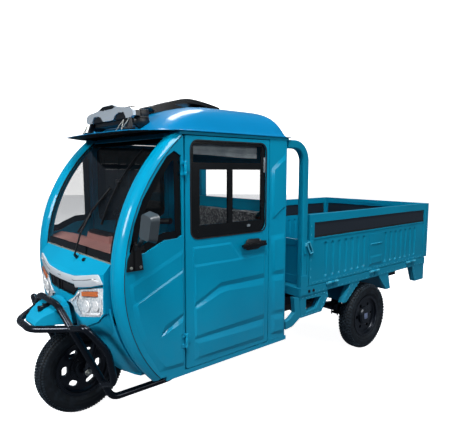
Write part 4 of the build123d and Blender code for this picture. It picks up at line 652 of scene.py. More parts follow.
# ---- Headlights ----
# Clear polycarbonate lenses over chromed reflectors: cut glass-like facets, a round bowl at
# the inner end, and an amber strip for the turn signal along the top.
def nose_front(x):
    """How far forward the nose's rounded front wall stands at a distance from the centre."""
    return -0.104 + 0.052 * (x / 0.452) ** 2


lamp_lens, lens_tree, lens_shader = new_material(
    "lamp_lens", Roughness=0.25, Coat_Weight=1.0, Coat_Roughness=0.04
)
# Facets of about 12 mm, as cut into the reflector.
drive(lens_shader, add_node(lens_tree, "TexVoronoi", {"Scale": 80.0}),
      tone=("#ffffff", "#b9c3ca"), span=(0.0, 0.75), relief=(0.45, 0.002))
dress("headlights", lamp_lens, 0.004)
# Amber acrylic with upright ribs, aluminised reflectors, and the shade between their parts.
amber_lens = ribbed("amber_lens", "X", 40.0, (0.6, 0.002), Base_Color="#d2703a", Roughness=0.2,
                    Coat_Weight=0.8)
lamp_chrome = new_material("lamp_chrome", Base_Color="#f1f4f6", Roughness=0.2, Metallic=0.2)[0]
lamp_shadow = new_material("lamp_shadow", Base_Color="#77828b", Roughness=0.3, Coat_Weight=0.6)[0]


def nose_bar(form, points, thick, proud, side=1):
    """A thin moulded bar that runs from point to point on the nose's front wall."""
    for (x0, z0), (x1, z1) in zip(points, points[1:]):
        start = Vector((side * x0, nose_front(x0) - proud, z0))
        run = Vector((side * x1, nose_front(x1) - proud, z1)) - start
        bmesh.ops.create_cube(form, size=1.0, matrix=(
            Matrix.Translation(start + run / 2) @ run.to_track_quat("X", "Z").to_matrix().to_4x4()
            @ Matrix.Diagonal((run.length + thick * 0.6, thick, thick, 1))
        ))


AMBER_STRIP = ((0.272, 0.792), (0.340, 0.804), (0.400, 0.814))
amber_form = bmesh.new()
reflector_form = bmesh.new()
divider_form = bmesh.new()
for side in (-1, 1):
    for form, drop, thick, proud in (
        (amber_form, 0.0, 0.013, 0.0015), (amber_form, 0.012, 0.013, 0.001),
        (divider_form, 0.023, 0.003, 0.002), (divider_form, -0.010, 0.003, 0.002),
    ):
        nose_bar(form, [(x, z - drop) for x, z in AMBER_STRIP], thick, proud, side)
    nose_bar(divider_form, ((0.236, 0.785), (0.205, 0.724), (0.246, 0.672)), 0.003, 0.001, side)
    for bowl_x, bowl_z, bowl_radius in ((0.300, 0.722, 0.034), (0.384, 0.738, 0.030)):
        facing = Vector((side * 0.23 * bowl_x, -1, 0)).to_track_quat("Z", "Y").to_matrix().to_4x4()
        seat = Matrix.Translation((side * bowl_x, nose_front(bowl_x) - 0.0015, bowl_z)) @ facing
        bmesh.ops.create_cone(reflector_form, segments=28, radius1=bowl_radius,
                              radius2=bowl_radius - 0.004, depth=0.004, matrix=seat)
        bmesh.ops.create_cone(reflector_form, cap_ends=True, segments=28, radius1=bowl_radius * 0.55,
                              radius2=bowl_radius * 0.35, depth=0.006, matrix=seat)
    nose_bar(reflector_form, ((0.150, 0.722), (0.200, 0.760), (0.226, 0.782)), 0.008, 0.001, side)
    nose_bar(reflector_form, ((0.262, 0.676), (0.414, 0.700), (0.428, 0.724), (0.432, 0.790)), 0.006,
             0.001, side)
bmesh.ops.holes_fill(reflector_form, edges=reflector_form.edges)
finish_piece(amber_form, "amber_strips", amber_lens, "chassis")
finish_piece(reflector_form, "lamp_reflectors", lamp_chrome, "chassis")
finish_piece(divider_form, "lamp_dividers", lamp_shadow, "chassis")


# ---- Grille and trim bar ----
# A black ABS grille panel with two plain raised frames, under a bar of silver-lacquered ABS
# in two bands, with a dark seam between them and bright faceted tips.
black_abs = moulded_plastic("black_abs", "#0b0d10", 0.42, 0.0022, 0.0002)
gloss_abs = moulded_plastic("gloss_abs", "#07090b", 0.25, 0.004, 0.00003)
dress("grille_panel", black_abs, 0.003)
grille_form = bmesh.new()
for middle in (-0.135, -0.062):
    nose_bar(grille_form, (
        (middle - 0.026, 0.768), (middle + 0.026, 0.768), (middle + 0.026, 0.812),
        (middle - 0.026, 0.812), (middle - 0.026, 0.768),
    ), 0.005, -0.0035)
nose_bar(grille_form, (
    (0.020, 0.766), (0.165, 0.766), (0.206, 0.800), (0.206, 0.814), (0.020, 0.814), (0.020, 0.766),
), 0.006, -0.0030)
nose_bar(grille_form, ((-0.020, 0.760), (-0.020, 0.818)), 0.010, -0.0025)
finish_piece(grille_form, "grille_frames", gloss_abs, "chassis")

# Aluminium flake of about 0.1 mm in the lacquer is drawn at 3 mm so that it shows.
LACQUER_FLAKE = {"Scale": 330.0, "Detail": 2.0}
silver_lacquer, silver_tree, silver_shader = new_material(
    "silver_lacquer", Base_Color="#ccd5db", Metallic=0.1, Coat_Weight=0.4, Coat_Roughness=0.15
)
drive(silver_shader, add_node(silver_tree, "TexNoise", LACQUER_FLAKE), sheen=(0.28, 0.45))
dress("trim_bar", silver_lacquer, 0.003)
seam_form = bmesh.new()
tip_form = bmesh.new()
for side in (-1, 1):
    nose_bar(seam_form, ((0.0, 0.847), (0.190, 0.846), (0.290, 0.864), (0.398, 0.886)), 0.003, 0.0055,
             side)
    nose_bar(seam_form, ((0.226, 0.803), (0.353, 0.830), (0.446, 0.857)), 0.006, 0.0, side)
    nose_bar(tip_form, ((0.372, 0.879), (0.424, 0.873)), 0.010, 0.006, side)
finish_piece(seam_form, "trim_seams", black_abs, "chassis")
finish_piece(tip_form, "trim_tips", lamp_chrome, "chassis")


# ---- Windscreen ----
# Toughened curved glass, faintly smoke-grey, bonded to the hoops: a black fired-on border and
# a rubber edge that shows as a narrow grey line.
SCREEN_Y = 0.981
SCREEN_FACE = 0.9926
SCREEN_LOW, SCREEN_HIGH = 5.9, 48.8
FIRED = 0.0007


def window_glass(name, tint, depth):
    """Thin float glass: its tint, and how much of what lies behind it the tint hides."""
    return new_material(
        name, Base_Color=tint, Alpha=depth, Roughness=0.03, Specular_IOR_Level=0.6, Coat_Weight=0.5,
        Coat_Roughness=0.02,
    )[0]


side_glass = window_glass("side_glass", "#10191d", 0.10)
dress("windshield", window_glass("screen_glass", "#0b1319", 0.29))
dress("quarter_windows", window_glass("quarter_glass", "#10191d", 0.08))
dress("rear_window door_glass_left", side_glass)
# The far door's pane is tinted near opaque: painted shade of the cab's inside seen through the near
# window.
dress("door_glass_right", window_glass("far_door_painted_shade_glass", "#0d141a", 0.93))
# Black ceramic enamel fired on glass, and extruded rubbers.
fired_border = new_material("fired_border", Base_Color="#07090b", Roughness=0.12)[0]
edge_rubber = moulded_plastic("edge_rubber", "#0d0f11", 0.6, 0.003, 0.0002)
pale_rubber = moulded_plastic("pale_rubber", "#7c7f78", 0.6, 0.003, 0.0002)


def screen_band(form, x_low, x_high, from_angle, to_angle, inner, outer, centre_y=SCREEN_Y):
    """A band on the windscreen's curve, between two angles from the hoops' level."""
    turn = radians(from_angle)
    section = [
        form.verts.new((x, centre_y - reach * cos(turn), HOOP_LEVEL + reach * sin(turn)))
        for x, reach in ((x_low, inner), (x_high, inner), (x_high, outer), (x_low, outer))
    ]
    sweep = to_angle - from_angle
    bmesh.ops.spin(form, geom=[form.faces.new(section)], cent=(0, centre_y, HOOP_LEVEL),
                   axis=(-1, 0, 0), angle=radians(sweep), steps=max(2, int(abs(sweep) / 1.2)))


border_form = bmesh.new()
rubber_form = bmesh.new()
sealer_and_seam_shade_form = bmesh.new()
screen_band(border_form, -0.460, 0.460, SCREEN_LOW, 8.4, SCREEN_FACE, SCREEN_FACE + FIRED)
screen_band(border_form, -0.460, 0.460, 46.4, SCREEN_HIGH, SCREEN_FACE, SCREEN_FACE + FIRED)
screen_band(rubber_form, -0.463, 0.463, 5.15, 5.75, 0.9865, SCREEN_FACE + 0.003)
for side in (-1, 1):
    # Black sealer shows beside the glass; in the joint between each hoop and the side a dark strip is
    # painted shade of the seam's groove.
    for form, low, high, start, end, inner, outer, centre_y in (
        (border_form, 0.432, 0.4605, SCREEN_LOW, SCREEN_HIGH, SCREEN_FACE, SCREEN_FACE + 0.0008,
         SCREEN_Y),
        (sealer_and_seam_shade_form, 0.4560, 0.4656, 5.2, 49.6, SCREEN_FACE - 0.001, SCREEN_FACE + 0.0045, SCREEN_Y),
        (sealer_and_seam_shade_form, 0.5850, 0.5881, 0, 49.8, 0.9856, 0.9884, SCREEN_Y),
        (sealer_and_seam_shade_form, 0.5850, 0.5881, 0, -41.4, 0.7996, 0.8024, LOWER_HOOP_Y),
    ):
        screen_band(form, side * low, side * high, start, end, inner, outer, centre_y)
finish_piece(border_form, "screen_border", fired_border, "chassis")
finish_piece(rubber_form, "screen_rubber", pale_rubber, "chassis")
finish_piece(sealer_and_seam_shade_form, "hoop_sealer_and_seam_shade", edge_rubber, "chassis")


# ---- Quarter windows ----
# Fixed side panes before the doors, bonded in the panel: the glass carries a broad black
# fired-on border, so only a narrow clear pane is left.
QUARTER_OPENING = (
    (0.294, 1.545), (0.336, 1.522), (0.342, 1.098), (0.315, 1.083), (0.236, 1.080), (0.172, 1.054),
    (0.116, 1.027), (0.040, 1.021), (0.024, 1.044), (0.054, 1.178), (0.104, 1.300), (0.178, 1.418),
    (0.248, 1.515),
)


def thicken(form, faces, step):
    """Gives flat faces a thickness, as a step in metres."""
    made = bmesh.ops.extrude_face_region(form, geom=faces)["geom"]
    bmesh.ops.translate(form, vec=step, verts=[v for v in made if isinstance(v, bmesh.types.BMVert)])


def flat_border(form, outline, width, step, rounding=0.0):
    """A flat border inside an outline: its width, its thickness, and its outer corners' radius."""
    face = form.faces.new([form.verts.new(point) for point in outline])
    if rounding:
        round_off(form, form.verts, rounding, 8, "VERTICES")
        face = max(form.faces, key=lambda each: each.calc_area())
    face.normal_update()
    ring = bmesh.ops.inset_region(form, faces=[face], thickness=width, use_boundary=True,
                                  use_even_offset=True)
    bmesh.ops.delete(form, geom=[face], context="FACES_ONLY")
    thicken(form, ring["faces"], step)


quarter_form = bmesh.new()
for side in (-1, 1):
    outline = [(side * 0.5745, y, z) for y, z in QUARTER_OPENING]
    flat_border(quarter_form, outline, 0.0405, (side * 0.0022, 0, 0))
finish_piece(quarter_form, "quarter_borders", fired_border, "chassis")


# ---- Door windows, seals, handles and curtain ----
# Black ABS window frames held in the doors by a rubber seal, with a pair of sliding panes
# below a fixed top light. A small grey catch holds the panes, and a hem of grey cloth hangs
# behind the top light. The door handle is a black ABS lever on a plate, with a lock beside it.
SEAL_OUTLINE = ((0.393, 1.065), (0.976, 1.065), (0.976, 1.609), (0.393, 1.609))
PLATE_OUTLINE = (
    (0.790, 0.973), (0.806, 0.965), (0.892, 0.965), (0.914, 0.976), (0.963, 0.979), (0.963, 1.011),
    (0.914, 1.013), (0.897, 1.030), (0.808, 1.033), (0.790, 1.013),
)
dress("door_window_left door_window_right", gloss_abs, 0.003)
pale_plastic = new_material("pale_plastic", Base_Color="#7d878d", Roughness=0.4)[0]
curtain_cloth, curtain_tree, curtain_shader = new_material(
    "curtain_cloth", Roughness=0.85, Sheen_Weight=0.3
)
fading = add_node(curtain_tree, "TexNoise", {"Scale": 14.0, "Detail": 6.0})
drive(curtain_shader, fading, tone=("#69757a", "#c3cdd0"))
# A plain weave of 0.5 mm threads is drawn at 2 mm so that it shows.
drive(curtain_shader, add_node(curtain_tree, "TexWave", {"Scale": 80.0}, "Fac", bands_direction="Z"),
      relief=(0.3, 0.0006))


def flat_plate(form, outline, step):
    """A flat plate from its outline, and its thickness as a step in metres."""
    thicken(form, [form.faces.new([form.verts.new(point) for point in outline])], step)


for side, hand in SIDES:
    body = f"door_{hand}"
    seal = bmesh.new()
    outline = [(side * 0.5868, y, z) for y, z in SEAL_OUTLINE]
    flat_border(seal, outline, 0.007, (side * 0.0034, 0, 0), 0.052)
    finish_piece(seal, f"window_seal_{hand}", edge_rubber, body)

    box_piece(f"window_catch_{hand}", pale_plastic, body, "silver_plastic",
              ((side * 0.5815, 0.952, 1.430), (side * 0.5895, 0.964, 1.522), 0.002),
              ((side * 0.5815, 0.818, 1.105), (side * 0.5875, 0.842, 1.118), 0.002))

    grip = bmesh.new()
    bmesh.ops.create_cube(grip, size=1.0, matrix=Matrix.Translation((side * 0.6175, 0.858, 0.994))
                          @ Matrix.Diagonal((0.013, 0.198, 0.030, 1)))
    for corner in grip.verts:
        if corner.co.y > 0.9:
            corner.co.z = 0.990 + (corner.co.z - 0.994) * 0.45
            corner.co.x -= side * 0.003
    round_off(grip, grip.edges, 0.0055, 4)
    for y in (0.772, 0.936):
        soft_box(grip, (side * 0.5965, y - 0.009, 0.985), (side * 0.6140, y + 0.009, 1.001), 0.002)
    finish_piece(grip, f"handle_grip_{hand}", gloss_abs, body)

    plate = bmesh.new()
    flat_plate(plate, [(side * 0.5970, y, z) for y, z in PLATE_OUTLINE], (side * 0.0115, 0, 0))
    round_off(plate, plate.edges, 0.0032, 3)
    plate_piece = finish_piece(plate, f"handle_plate_{hand}", black_abs, body)
    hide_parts(f"door_handle_{hand}")

    lock = bmesh.new()
    rod(lock, (side * 0.6085, 0.905, 1.018), (side * 0.6115, 0.905, 1.018), 0.006, 24, 0.0055)
    finish_piece(lock, f"door_lock_{hand}", zinc_plate, body)

CURTAIN_TOP = 1.594
curtain = bmesh.new()
bmesh.ops.create_grid(curtain, x_segments=64, y_segments=14, size=0.5,
                      matrix=Matrix.Diagonal((0.51, 0.10, 1, 1)))
for corner in curtain.verts:
    along, drop = corner.co.x, corner.co.y
    fold = 0.005 * sin(along * 38) + 0.006 * noise.noise((along * 22, drop * 16, 2.0))
    tuck = 0.007 * max(0.0, 1 - abs(drop + 0.012) / 0.006)
    corner.co = Vector((0.549 + fold * (0.5 - drop * 4) - tuck, 0.672 + along,
                        CURTAIN_TOP + (drop - 0.05) * (0.72 + 0.08 * sin(along * 7))))
curtain_piece = finish_piece(curtain, "top_light_curtain", curtain_cloth, "door_left",
                             crease=180)
curtain_piece.modifiers.new("skin", "SOLIDIFY").thickness = 0.0012


# ---- Dashboard and steering ----
# A vacuum-formed shelf in salmon-pink ABS with a black instrument box on it, before a
# handlebar in black enamel with moulded rubber grips and pressed levers.
dash_plastic = moulded_plastic("dash_plastic", "#dc9f96", 0.5, 0.0028, 0.0003)
dress("dashboard", dash_plastic, 0.006)
dress("handlebar", black_abs)
box_piece("instrument_box", black_abs, "chassis", "black_plastic",
          ((-0.120, 0.128, 1.052), (0.140, 0.168, 1.078), 0.006),
          ((-0.128, 0.156, 1.000), (0.148, 0.204, 1.062), 0.006))
box_piece("display_glass", fired_border, "chassis", "black_plastic",
          ((-0.085, 0.2035, 1.012), (0.105, 0.2050, 1.054), 0.0006))
lever_form = bmesh.new()
for side in (-1, 1):
    for along in range(8):
        reach = (side * (0.215 + 0.017 * along), 0.272 + 0.0068 * along, 1.128 + 0.0015 * along)
        bmesh.ops.create_icosphere(lever_form, subdivisions=1, radius=0.0085,
                                   matrix=Matrix.Translation(reach))
finish_piece(lever_form, "brake_levers", black_abs, "steering")


# ---- Seat ----
# Bench cushion and backrest: foam in red-brown leathercloth, welded in upright channels, on a
# black sheet-steel box. Each pad is blown up a little by a cloth simulation, so its faces crown.
SEAT_VOXEL = 0.009
SEAT_HALF = 0.418
SEAT_CHANNELS = (-0.28, -0.14, 0.0, 0.14, 0.28)
CHANNEL_REACH = 0.030
PRESSURE_STEPS = 12
# Embossed vinyl: its grain of 1 mm is drawn at 3 mm so that it shows.
seat_leather, leather_tree, leather_shader = new_material(
    "seat_leathercloth", Roughness=0.48, Coat_Weight=0.1, Sheen_Weight=0.1
)
drive(leather_shader, add_node(leather_tree, "TexVoronoi", {"Scale": 300.0}),
      tone=("#7a3529", "#5b231a"), relief=(0.4, 0.0008))
dress("seat_box", black_enamel("seat_steel", 0.5, 0.1, 0.15), 0.003)


def settled(piece):
    """A copy of a piece's mesh as its modifiers leave it."""
    return bpy.data.meshes.new_from_object(piece.evaluated_get(bpy.context.evaluated_depsgraph_get()))


def stuffed_pad(name, corners, swell):
    """A pad between its lengthwise corners, blown up by a cloth simulation, with channels."""
    form = bmesh.new()
    flat_plate(form, [(-SEAT_HALF, y, z) for y, z in corners], (2 * SEAT_HALF, 0, 0))
    round_off(form, form.edges, 0.022, 3)
    pad = finish_piece(form, name, seat_leather, "chassis", crease=180)
    shell = pad.modifiers.new("shell", "REMESH")
    shell.mode = "VOXEL"
    shell.voxel_size = SEAT_VOXEL
    pad.data = settled(pad)
    pad.modifiers.clear()
    start = [v.co.copy() for v in pad.data.vertices]
    cloth = pad.modifiers.new("cloth", "CLOTH")
    cloth.settings.use_pressure = True
    cloth.settings.uniform_pressure_force = 4.0
    cloth.settings.effector_weights.gravity = 0.0
    for step in range(1, PRESSURE_STEPS + 1):
        bpy.context.scene.frame_set(step)
    blown = settled(pad)
    pad.modifiers.clear()
    bpy.context.scene.frame_set(1)
    for point, before in zip(blown.vertices, start):
        push = point.co - before
        if push.length > swell:
            push = push * (swell / push.length)
        nearest = min(abs(before.x - x) for x in SEAT_CHANNELS)
        point.co = before + push * (1 - 0.95 * max(0.0, 1 - nearest / CHANNEL_REACH) ** 2)
    pad.data = blown
    smooth = pad.modifiers.new("smooth", "SUBSURF")
    smooth.levels = smooth.render_levels = 1
    return pad


cushion = stuffed_pad("seat_cushion_pad", (
    (0.640, 0.606), (1.022, 0.606), (1.022, 0.696), (0.640, 0.696)
), 0.012)
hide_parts("seat_cushion")
backrest = stuffed_pad("seat_backrest_pad", (
    (1.044, 0.612), (1.112, 0.612), (1.140, 0.730), (1.140, 1.140), (1.098, 1.140)
), 0.010)
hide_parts("seat_backrest")

# A grey flecked dust cover lies over the top of the backrest and hangs down before it.
COVER_LIES = 0.050
cover_cloth, cover_tree, cover_shader = new_material("cover_cloth", Roughness=0.38)
drive(cover_shader, add_node(cover_tree, "TexNoise", {"Scale": 60.0, "Detail": 8.0, "Roughness": 0.8}),
      tone=("#35373a", "#ccd0d2"), span=(0.48, 0.72))
cover = bmesh.new()
bmesh.ops.create_grid(cover, x_segments=110, y_segments=34, size=0.5,
                      matrix=Matrix.Diagonal((0.74, 0.25, 1, 1)))
for corner in cover.verts:
    along, across = corner.co.x, corner.co.y + 0.125
    ripple = 0.006 * noise.noise((along * 9, across * 12, 0.3)) + 0.004 * sin(along * 34 + across * 20)
    lie = min(across, COVER_LIES)
    hang = max(0.0, across - COVER_LIES)
    front = 1.138 - lie - 0.16 * hang - 0.012 * min(1.0, hang / 0.02) - abs(ripple)
    corner.co = Vector((0.03 + along, front, 1.163 - 0.985 * hang - 0.03 * lie + 0.3 * ripple))
cover_piece = finish_piece(cover, "backrest_cover", cover_cloth, "chassis", crease=180)
cover_piece.modifiers.new("skin", "SOLIDIFY").thickness = 0.0010


# ---- Roof pod and arch ----
# The lamp pod over the visor is a silver-lacquered ABS cover on a black body, with smoked
# lenses in its openings. The arch on the roof is one piece of satin black ABS.
POD_BACK = 0.2340
POD_SIDE_TOP = 1.7960
POD_FOOT = 1.7347
pod_lacquer, pod_tree, pod_shader = new_material(
    "pod_lacquer", Metallic=0.4, Coat_Weight=0.4, Coat_Roughness=0.12
)
# Its back, below the lenses, and its foot are left black.
pod_y = add_node(pod_tree, "SeparateXYZ", {}, "Y")
pod_z = add_node(pod_tree, "SeparateXYZ", {}, "Z")
pod_behind = add_node(pod_tree, "Math", {0: pod_y, 1: POD_BACK}, operation="GREATER_THAN")
pod_below = add_node(pod_tree, "Math", {0: pod_z, 1: POD_SIDE_TOP}, operation="LESS_THAN")
pod_side = add_node(pod_tree, "Math", {0: pod_behind, 1: pod_below}, operation="MULTIPLY")
pod_foot = add_node(pod_tree, "Math", {0: pod_z, 1: POD_FOOT}, operation="LESS_THAN")
pod_black_part = add_node(pod_tree, "Math", {0: pod_side, 1: pod_foot}, operation="MAXIMUM")
pod_flake = add_node(pod_tree, "TexNoise", LACQUER_FLAKE)
pod_silver = add_node(pod_tree, "Mix", {"Factor": pod_flake, "A": "#a3aeb6", "B": "#ced6dc"}, "Result",
                      data_type="RGBA")
drive(pod_shader, pod_black_part, tone=(pod_silver, "#0a0d12"))
drive(pod_shader, pod_flake, sheen=(0.3, 0.45))
dress("roof_lamp_pod", pod_lacquer)
dress("roof_arch_trim", gloss_abs)

POD_CORNER = (
    (0.066, 1.7355), (0.097, 1.7620), (0.138, 1.7718), (0.195, 1.7698), (0.220, 1.7415),
    (0.220, 1.7355),
)
POD_LENS = (
    (-0.112, 1.8045), (-0.068, 1.8215), (0.062, 1.8215), (0.098, 1.8085), (0.052, 1.8010),
    (-0.060, 1.8010),
)
POD_CLIP = (
    (0.226, 0.150, 1.6600), (0.240, 0.192, 1.7240), (0.252, 0.170, 1.6640), (0.266, 0.212, 1.7300),
)
pod_black = bmesh.new()
pod_lens = bmesh.new()
for side in (-1, 1):
    flat_plate(pod_black, [(side * x, 0.2225, z) for x, z in POD_CORNER], (0, 0.0170, 0))
    bmesh.ops.create_uvsphere(pod_black, u_segments=28, v_segments=14, radius=1.0, matrix=(
        Matrix.Translation((side * 0.268, 0.288, 1.722)) @ Matrix.Diagonal((0.030, 0.052, 0.044, 1))
    ))
    soft_box(pod_black, (side * 0.2990, 0.268, 1.7460), (side * 0.3030, 0.316, 1.7800), 0.0015)
    soft_box(pod_black, (side * 0.232, 0.176, 1.6690), (side * 0.272, 0.248, 1.6790), 0.003)
    soft_box(pod_lens, (side * 0.196, 0.222, 1.7940), (side * 0.262, 0.256, 1.7985), 0.002)
soft_box(pod_black, (-0.226, 0.236, 1.7060), (0.226, 0.312, 1.7380), 0.006)
finish_piece(pod_black, "pod_body", black_abs, "chassis")
flat_plate(pod_lens, [(x, 0.2138, z) for x, z in POD_LENS], (0, 0.0022, 0))
finish_piece(pod_lens, "pod_lenses", fired_border, "chassis")
# Bright wire clips hold the feet down on the visor.
tube_piece("pod_clips", 0.0022, 3, [(mirrored(side, POD_CLIP), 0.012) for side in (-1, 1)], zinc_plate)


# ---- Mirror and wiper ----
# The mirror is a grey-black ABS housing on a ball neck and a die-cast bracket, with its glass
# facing back. The wiper is a black enamelled arm with a rubber blade.
HOUSING_FOOT = 1.098
mirror_abs, housing_tree, housing_shader = new_material("mirror_abs", Roughness=0.36)
housing_part = add_node(housing_tree, "Math", {
    0: add_node(housing_tree, "SeparateXYZ", {}, "Z"), 1: HOUSING_FOOT
}, operation="GREATER_THAN")
drive(housing_shader, housing_part, tone=("#0b0d10", "#41494e"))
drive(housing_shader, add_node(housing_tree, "TexVoronoi", {"Scale": 450.0}), relief=(0.5, 0.0001))
dress("mirror_left", mirror_abs)
dress("wiper", black_abs)

BLADE_LOW = Vector((0.290, 16.4))
BLADE_HIGH = Vector((0.340, 43.8))
BLADE_STEPS = 14
blade_form = bmesh.new()
for inner, outer, half in ((0.9935, 0.9990, 0.0016), (0.9985, 1.0045, 0.0045)):
    loops = []
    for step in range(BLADE_STEPS + 1):
        x, angle = BLADE_LOW.lerp(BLADE_HIGH, step / BLADE_STEPS)
        turn = radians(angle)
        ring = [
            blade_form.verts.new((x + a, SCREEN_Y - reach * cos(turn), HOOP_LEVEL + reach * sin(turn)))
            for a, reach in ((-half, inner), (half, inner), (half, outer), (-half, outer))
        ]
        loops.append(joined(blade_form, ring + ring[:1]))
    for first, second in zip(loops, loops[1:]):
        bmesh.ops.bridge_loops(blade_form, edges=first + second)
bmesh.ops.holes_fill(blade_form, edges=blade_form.edges)
joint_turn = radians(30.5)
joint_z = HOOP_LEVEL + 1.004 * sin(joint_turn)
soft_box(blade_form, (0.300, SCREEN_Y - 1.014 * cos(joint_turn) - 0.004, joint_z - 0.012),
         (0.325, SCREEN_Y - 0.998 * cos(joint_turn) + 0.004, joint_z + 0.014), 0.003)
finish_piece(blade_form, "wiper_blade", black_abs, "chassis")

# Silvered glass.
mirror_silver = new_material("mirror_silver", Base_Color="#dfe5e8", Roughness=0.02, Metallic=1.0)[0]
mirror_glass = bmesh.new()
mirror_glass.faces.new([mirror_glass.verts.new((x, 0.0782, z)) for x, z in (
    (0.6550, 1.1170), (0.7490, 1.1105), (0.7820, 1.2270), (0.6880, 1.2430)
)])
round_off(mirror_glass, mirror_glass.verts, 0.020, 6, "VERTICES")
thicken(mirror_glass, list(mirror_glass.faces), (0, 0.0016, 0))
finish_piece(mirror_glass, "mirror_glass", mirror_silver, "chassis")
bracket_bolts = bmesh.new()
for y in (0.030, 0.082):
    hex_bolt(bracket_bolts, (0.5950, y, 0.962), (1, 0, 0), 0.006, 0.005)
finish_piece(bracket_bolts, "mirror_bolts", zinc_plate, "chassis")


# ---- Load bed ----
# Pressed and folded sheet steel in a duller coat of the same blue, spot welded. The drop sides
# are square tube frames round a fluted sheet, with a black strip let into each face.
BED_FACE = 0.5882
STRIP_LOW, STRIP_HIGH = 0.977, 1.081
STRIP_TILT = 0.0045
WELD = 0.0024
BARREL_GAP = 0.002
bed_enamel = enamel("bed_enamel", "#0689ab", "#057f9f", 0.42, 0.25, 0.24)
# A paler copy of the bed's blue: painted highlight on welds, latch levers, pulls and hinge barrels.
painted_highlight_enamel = enamel("painted_highlight_enamel", "#4db4d0", "#3ca3c1", 0.3, 0.3, 0.05)
strip_black = moulded_plastic("strip_black", "#1c232c", 0.36, 0.003, 0.0002)
dress("bed_deck bed_brackets headboard guard_hoops side_board_left side_board_right tailgate",
      bed_enamel, 0.0025)


def tilted_strip(form, low, high, axis, tilt):
    """A flat strip in a recess, its top edge let in further than its foot."""
    for corner in soft_box(form, (*low, STRIP_LOW), (*high, STRIP_HIGH)):
        if corner.co.z > (STRIP_LOW + STRIP_HIGH) / 2:
            corner.co[axis] += tilt


def weld_row(form, start, end, pitch):
    """A row of flat spot-weld marks from one point to another."""
    run = Vector(end) - Vector(start)
    aim = run.to_track_quat("X", "Z").to_matrix().to_4x4()
    for index in range(int(run.length / pitch) + 1):
        bmesh.ops.create_icosphere(form, subdivisions=1, radius=1.0, matrix=(
            Matrix.Translation(Vector(start) + run.normalized() * pitch * index) @ aim
            @ Matrix.Diagonal((0.0095, WELD, WELD, 1))
        ))


for side, hand in SIDES:
    board = f"side_board_{hand}"
    strips = bmesh.new()
    tilted_strip(strips, (side * 0.5762, 1.4590), (side * 0.5835, 3.0480), 0, side * -STRIP_TILT)
    tilted_strip(strips, (side * 0.5575, 1.4590), (side * 0.5648, 3.0480), 0, side * STRIP_TILT)
    finish_piece(strips, f"board_strips_{hand}", strip_black, board)
    # A black band below each strip is painted shade in the recess's gap.
    box_piece(f"board_strip_gap_shade_{hand}", edge_rubber, board, "black_plastic", *(
        ((side * inner, 1.4590, 0.9755), (side * outer, 3.0480, 0.9890), 0)
        for inner, outer in ((0.5800, 0.5850), (0.5570, 0.5610))
    ))
tail_strip = bmesh.new()
tilted_strip(tail_strip, (-0.536, 3.1162), (0.536, 3.1235), 1, -STRIP_TILT)
tilted_strip(tail_strip, (-0.536, 3.0975), (0.536, 3.1048), 1, STRIP_TILT)
finish_piece(tail_strip, "tailgate_strips", strip_black, "tailgate")

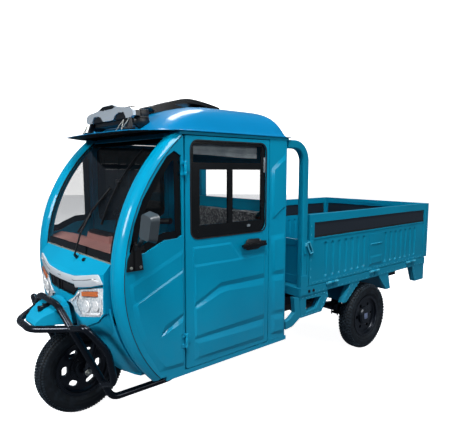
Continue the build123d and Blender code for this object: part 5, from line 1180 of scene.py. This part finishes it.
for side, hand in SIDES:
    face = side * BED_FACE
    rail = side * 0.5832
    out = (side, 0, 0)
    board = f"side_board_{hand}"
    # Spot welds along the lower edges and down the brackets: shallow buttons in the paint, painted pale
    # as painted highlights.
    board_welds = bmesh.new()
    weld_row(board_welds, (face, 1.450, 0.6555), (face, 3.060, 0.6555), 0.046)
    weld_row(board_welds, (face, 1.424, 0.700), (face, 1.424, 1.080), 0.060)
    finish_piece(board_welds, f"board_welds_{hand}", painted_highlight_enamel, board)
    deck_welds = bmesh.new()
    weld_row(deck_welds, (face, 1.480, 0.590), (face, 3.080, 0.590), 0.046)
    for y0, z0, y1, z1 in (
        (1.352, 0.562, 1.610, 0.562), (1.622, 0.545, 1.556, 0.446), (1.352, 0.438, 1.540, 0.440),
        (2.028, 0.560, 1.872, 0.452), (1.940, 0.560, 1.842, 0.470), (2.330, 0.560, 2.446, 0.456),
        (2.452, 0.560, 2.492, 0.456), (2.900, 0.560, 2.950, 0.448), (3.078, 0.560, 3.078, 0.448),
    ):
        weld_row(deck_welds, (rail, y0, z0), (rail, y1, z1), 0.034)
    finish_piece(deck_welds, f"deck_welds_{hand}", painted_highlight_enamel, "chassis")

    # Over-centre latches: a bolted plate on the post, and a hook and wire lever on the board, the lever
    # painted pale as a painted highlight.
    plates = bmesh.new()
    soft_box(plates, (side * 0.5884, 1.340, 0.868), (side * 0.5935, 1.372, 0.952), 0.0015)
    for z in (0.880, 0.940):
        hex_bolt(plates, (side * 0.5930, 1.356, z), out, 0.006, 0.005)
    finish_piece(plates, f"latch_plates_{hand}", bed_enamel, "chassis")
    box_piece(f"latch_hooks_{hand}", bed_enamel, board, "bed_paint",
              ((side * 0.5884, 1.409, 0.862), (side * 0.5940, 1.440, 0.958), 0.0015))
    lever = bmesh.new()
    wire = [(side * 0.601, y, z) for y, z in (
        (1.362, 0.950), (1.402, 0.872), (1.430, 0.880), (1.392, 0.954)
    )]
    for start, end in zip(wire, wire[1:] + wire[:1]):
        rod(lever, start, end, 0.0042, 12)
    soft_box(lever, (side * 0.5935, 1.352, 0.925), (side * 0.6010, 1.372, 0.950), 0.002)
    finish_piece(lever, f"latch_levers_{hand}", painted_highlight_enamel, board)
    # The pull rod is painted pale: a painted highlight along it.
    pull = bmesh.new()
    rod(pull, (side * 0.5880, 2.335, 0.853), (side * 0.5880, 2.175, 0.853), 0.0046, 12)
    finish_piece(pull, f"board_pull_{hand}", painted_highlight_enamel, board)

    # The deck's halves of the hinge barrels, painted pale as a painted highlight, and the bolts at the
    # foot of the post.
    barrels = bmesh.new()
    for low, high in ((1.606, 1.721), (2.167, 2.280), (2.747, 2.884)):
        third = (high - low) / 3
        for y0, y1 in (
            (low - 0.006, low + third - BARREL_GAP), (high - third + BARREL_GAP, high + 0.006)
        ):
            rod(barrels, (side * 0.600, y1, 0.632), (side * 0.600, y0, 0.632), 0.0094, 16)
    finish_piece(barrels, f"hinge_barrels_{hand}", painted_highlight_enamel, "chassis")
    post_bolts = bmesh.new()
    for y in (1.411, 1.460):
        hex_bolt(post_bolts, (face, y, 0.602), out, 0.0085, 0.007)
    finish_piece(post_bolts, f"post_bolts_{hand}", frame_black, "chassis")


# ---- Tail lamps ----
# Red acrylic lenses over a ribbed reflector, in a black gasket.
tail_acrylic = ribbed("tail_acrylic", "X", 30.0, (0.5, 0.002), Base_Color="#a3141a", Roughness=0.12,
                      Coat_Weight=0.8)
dress("tail_lamps", tail_acrylic, 0.004)
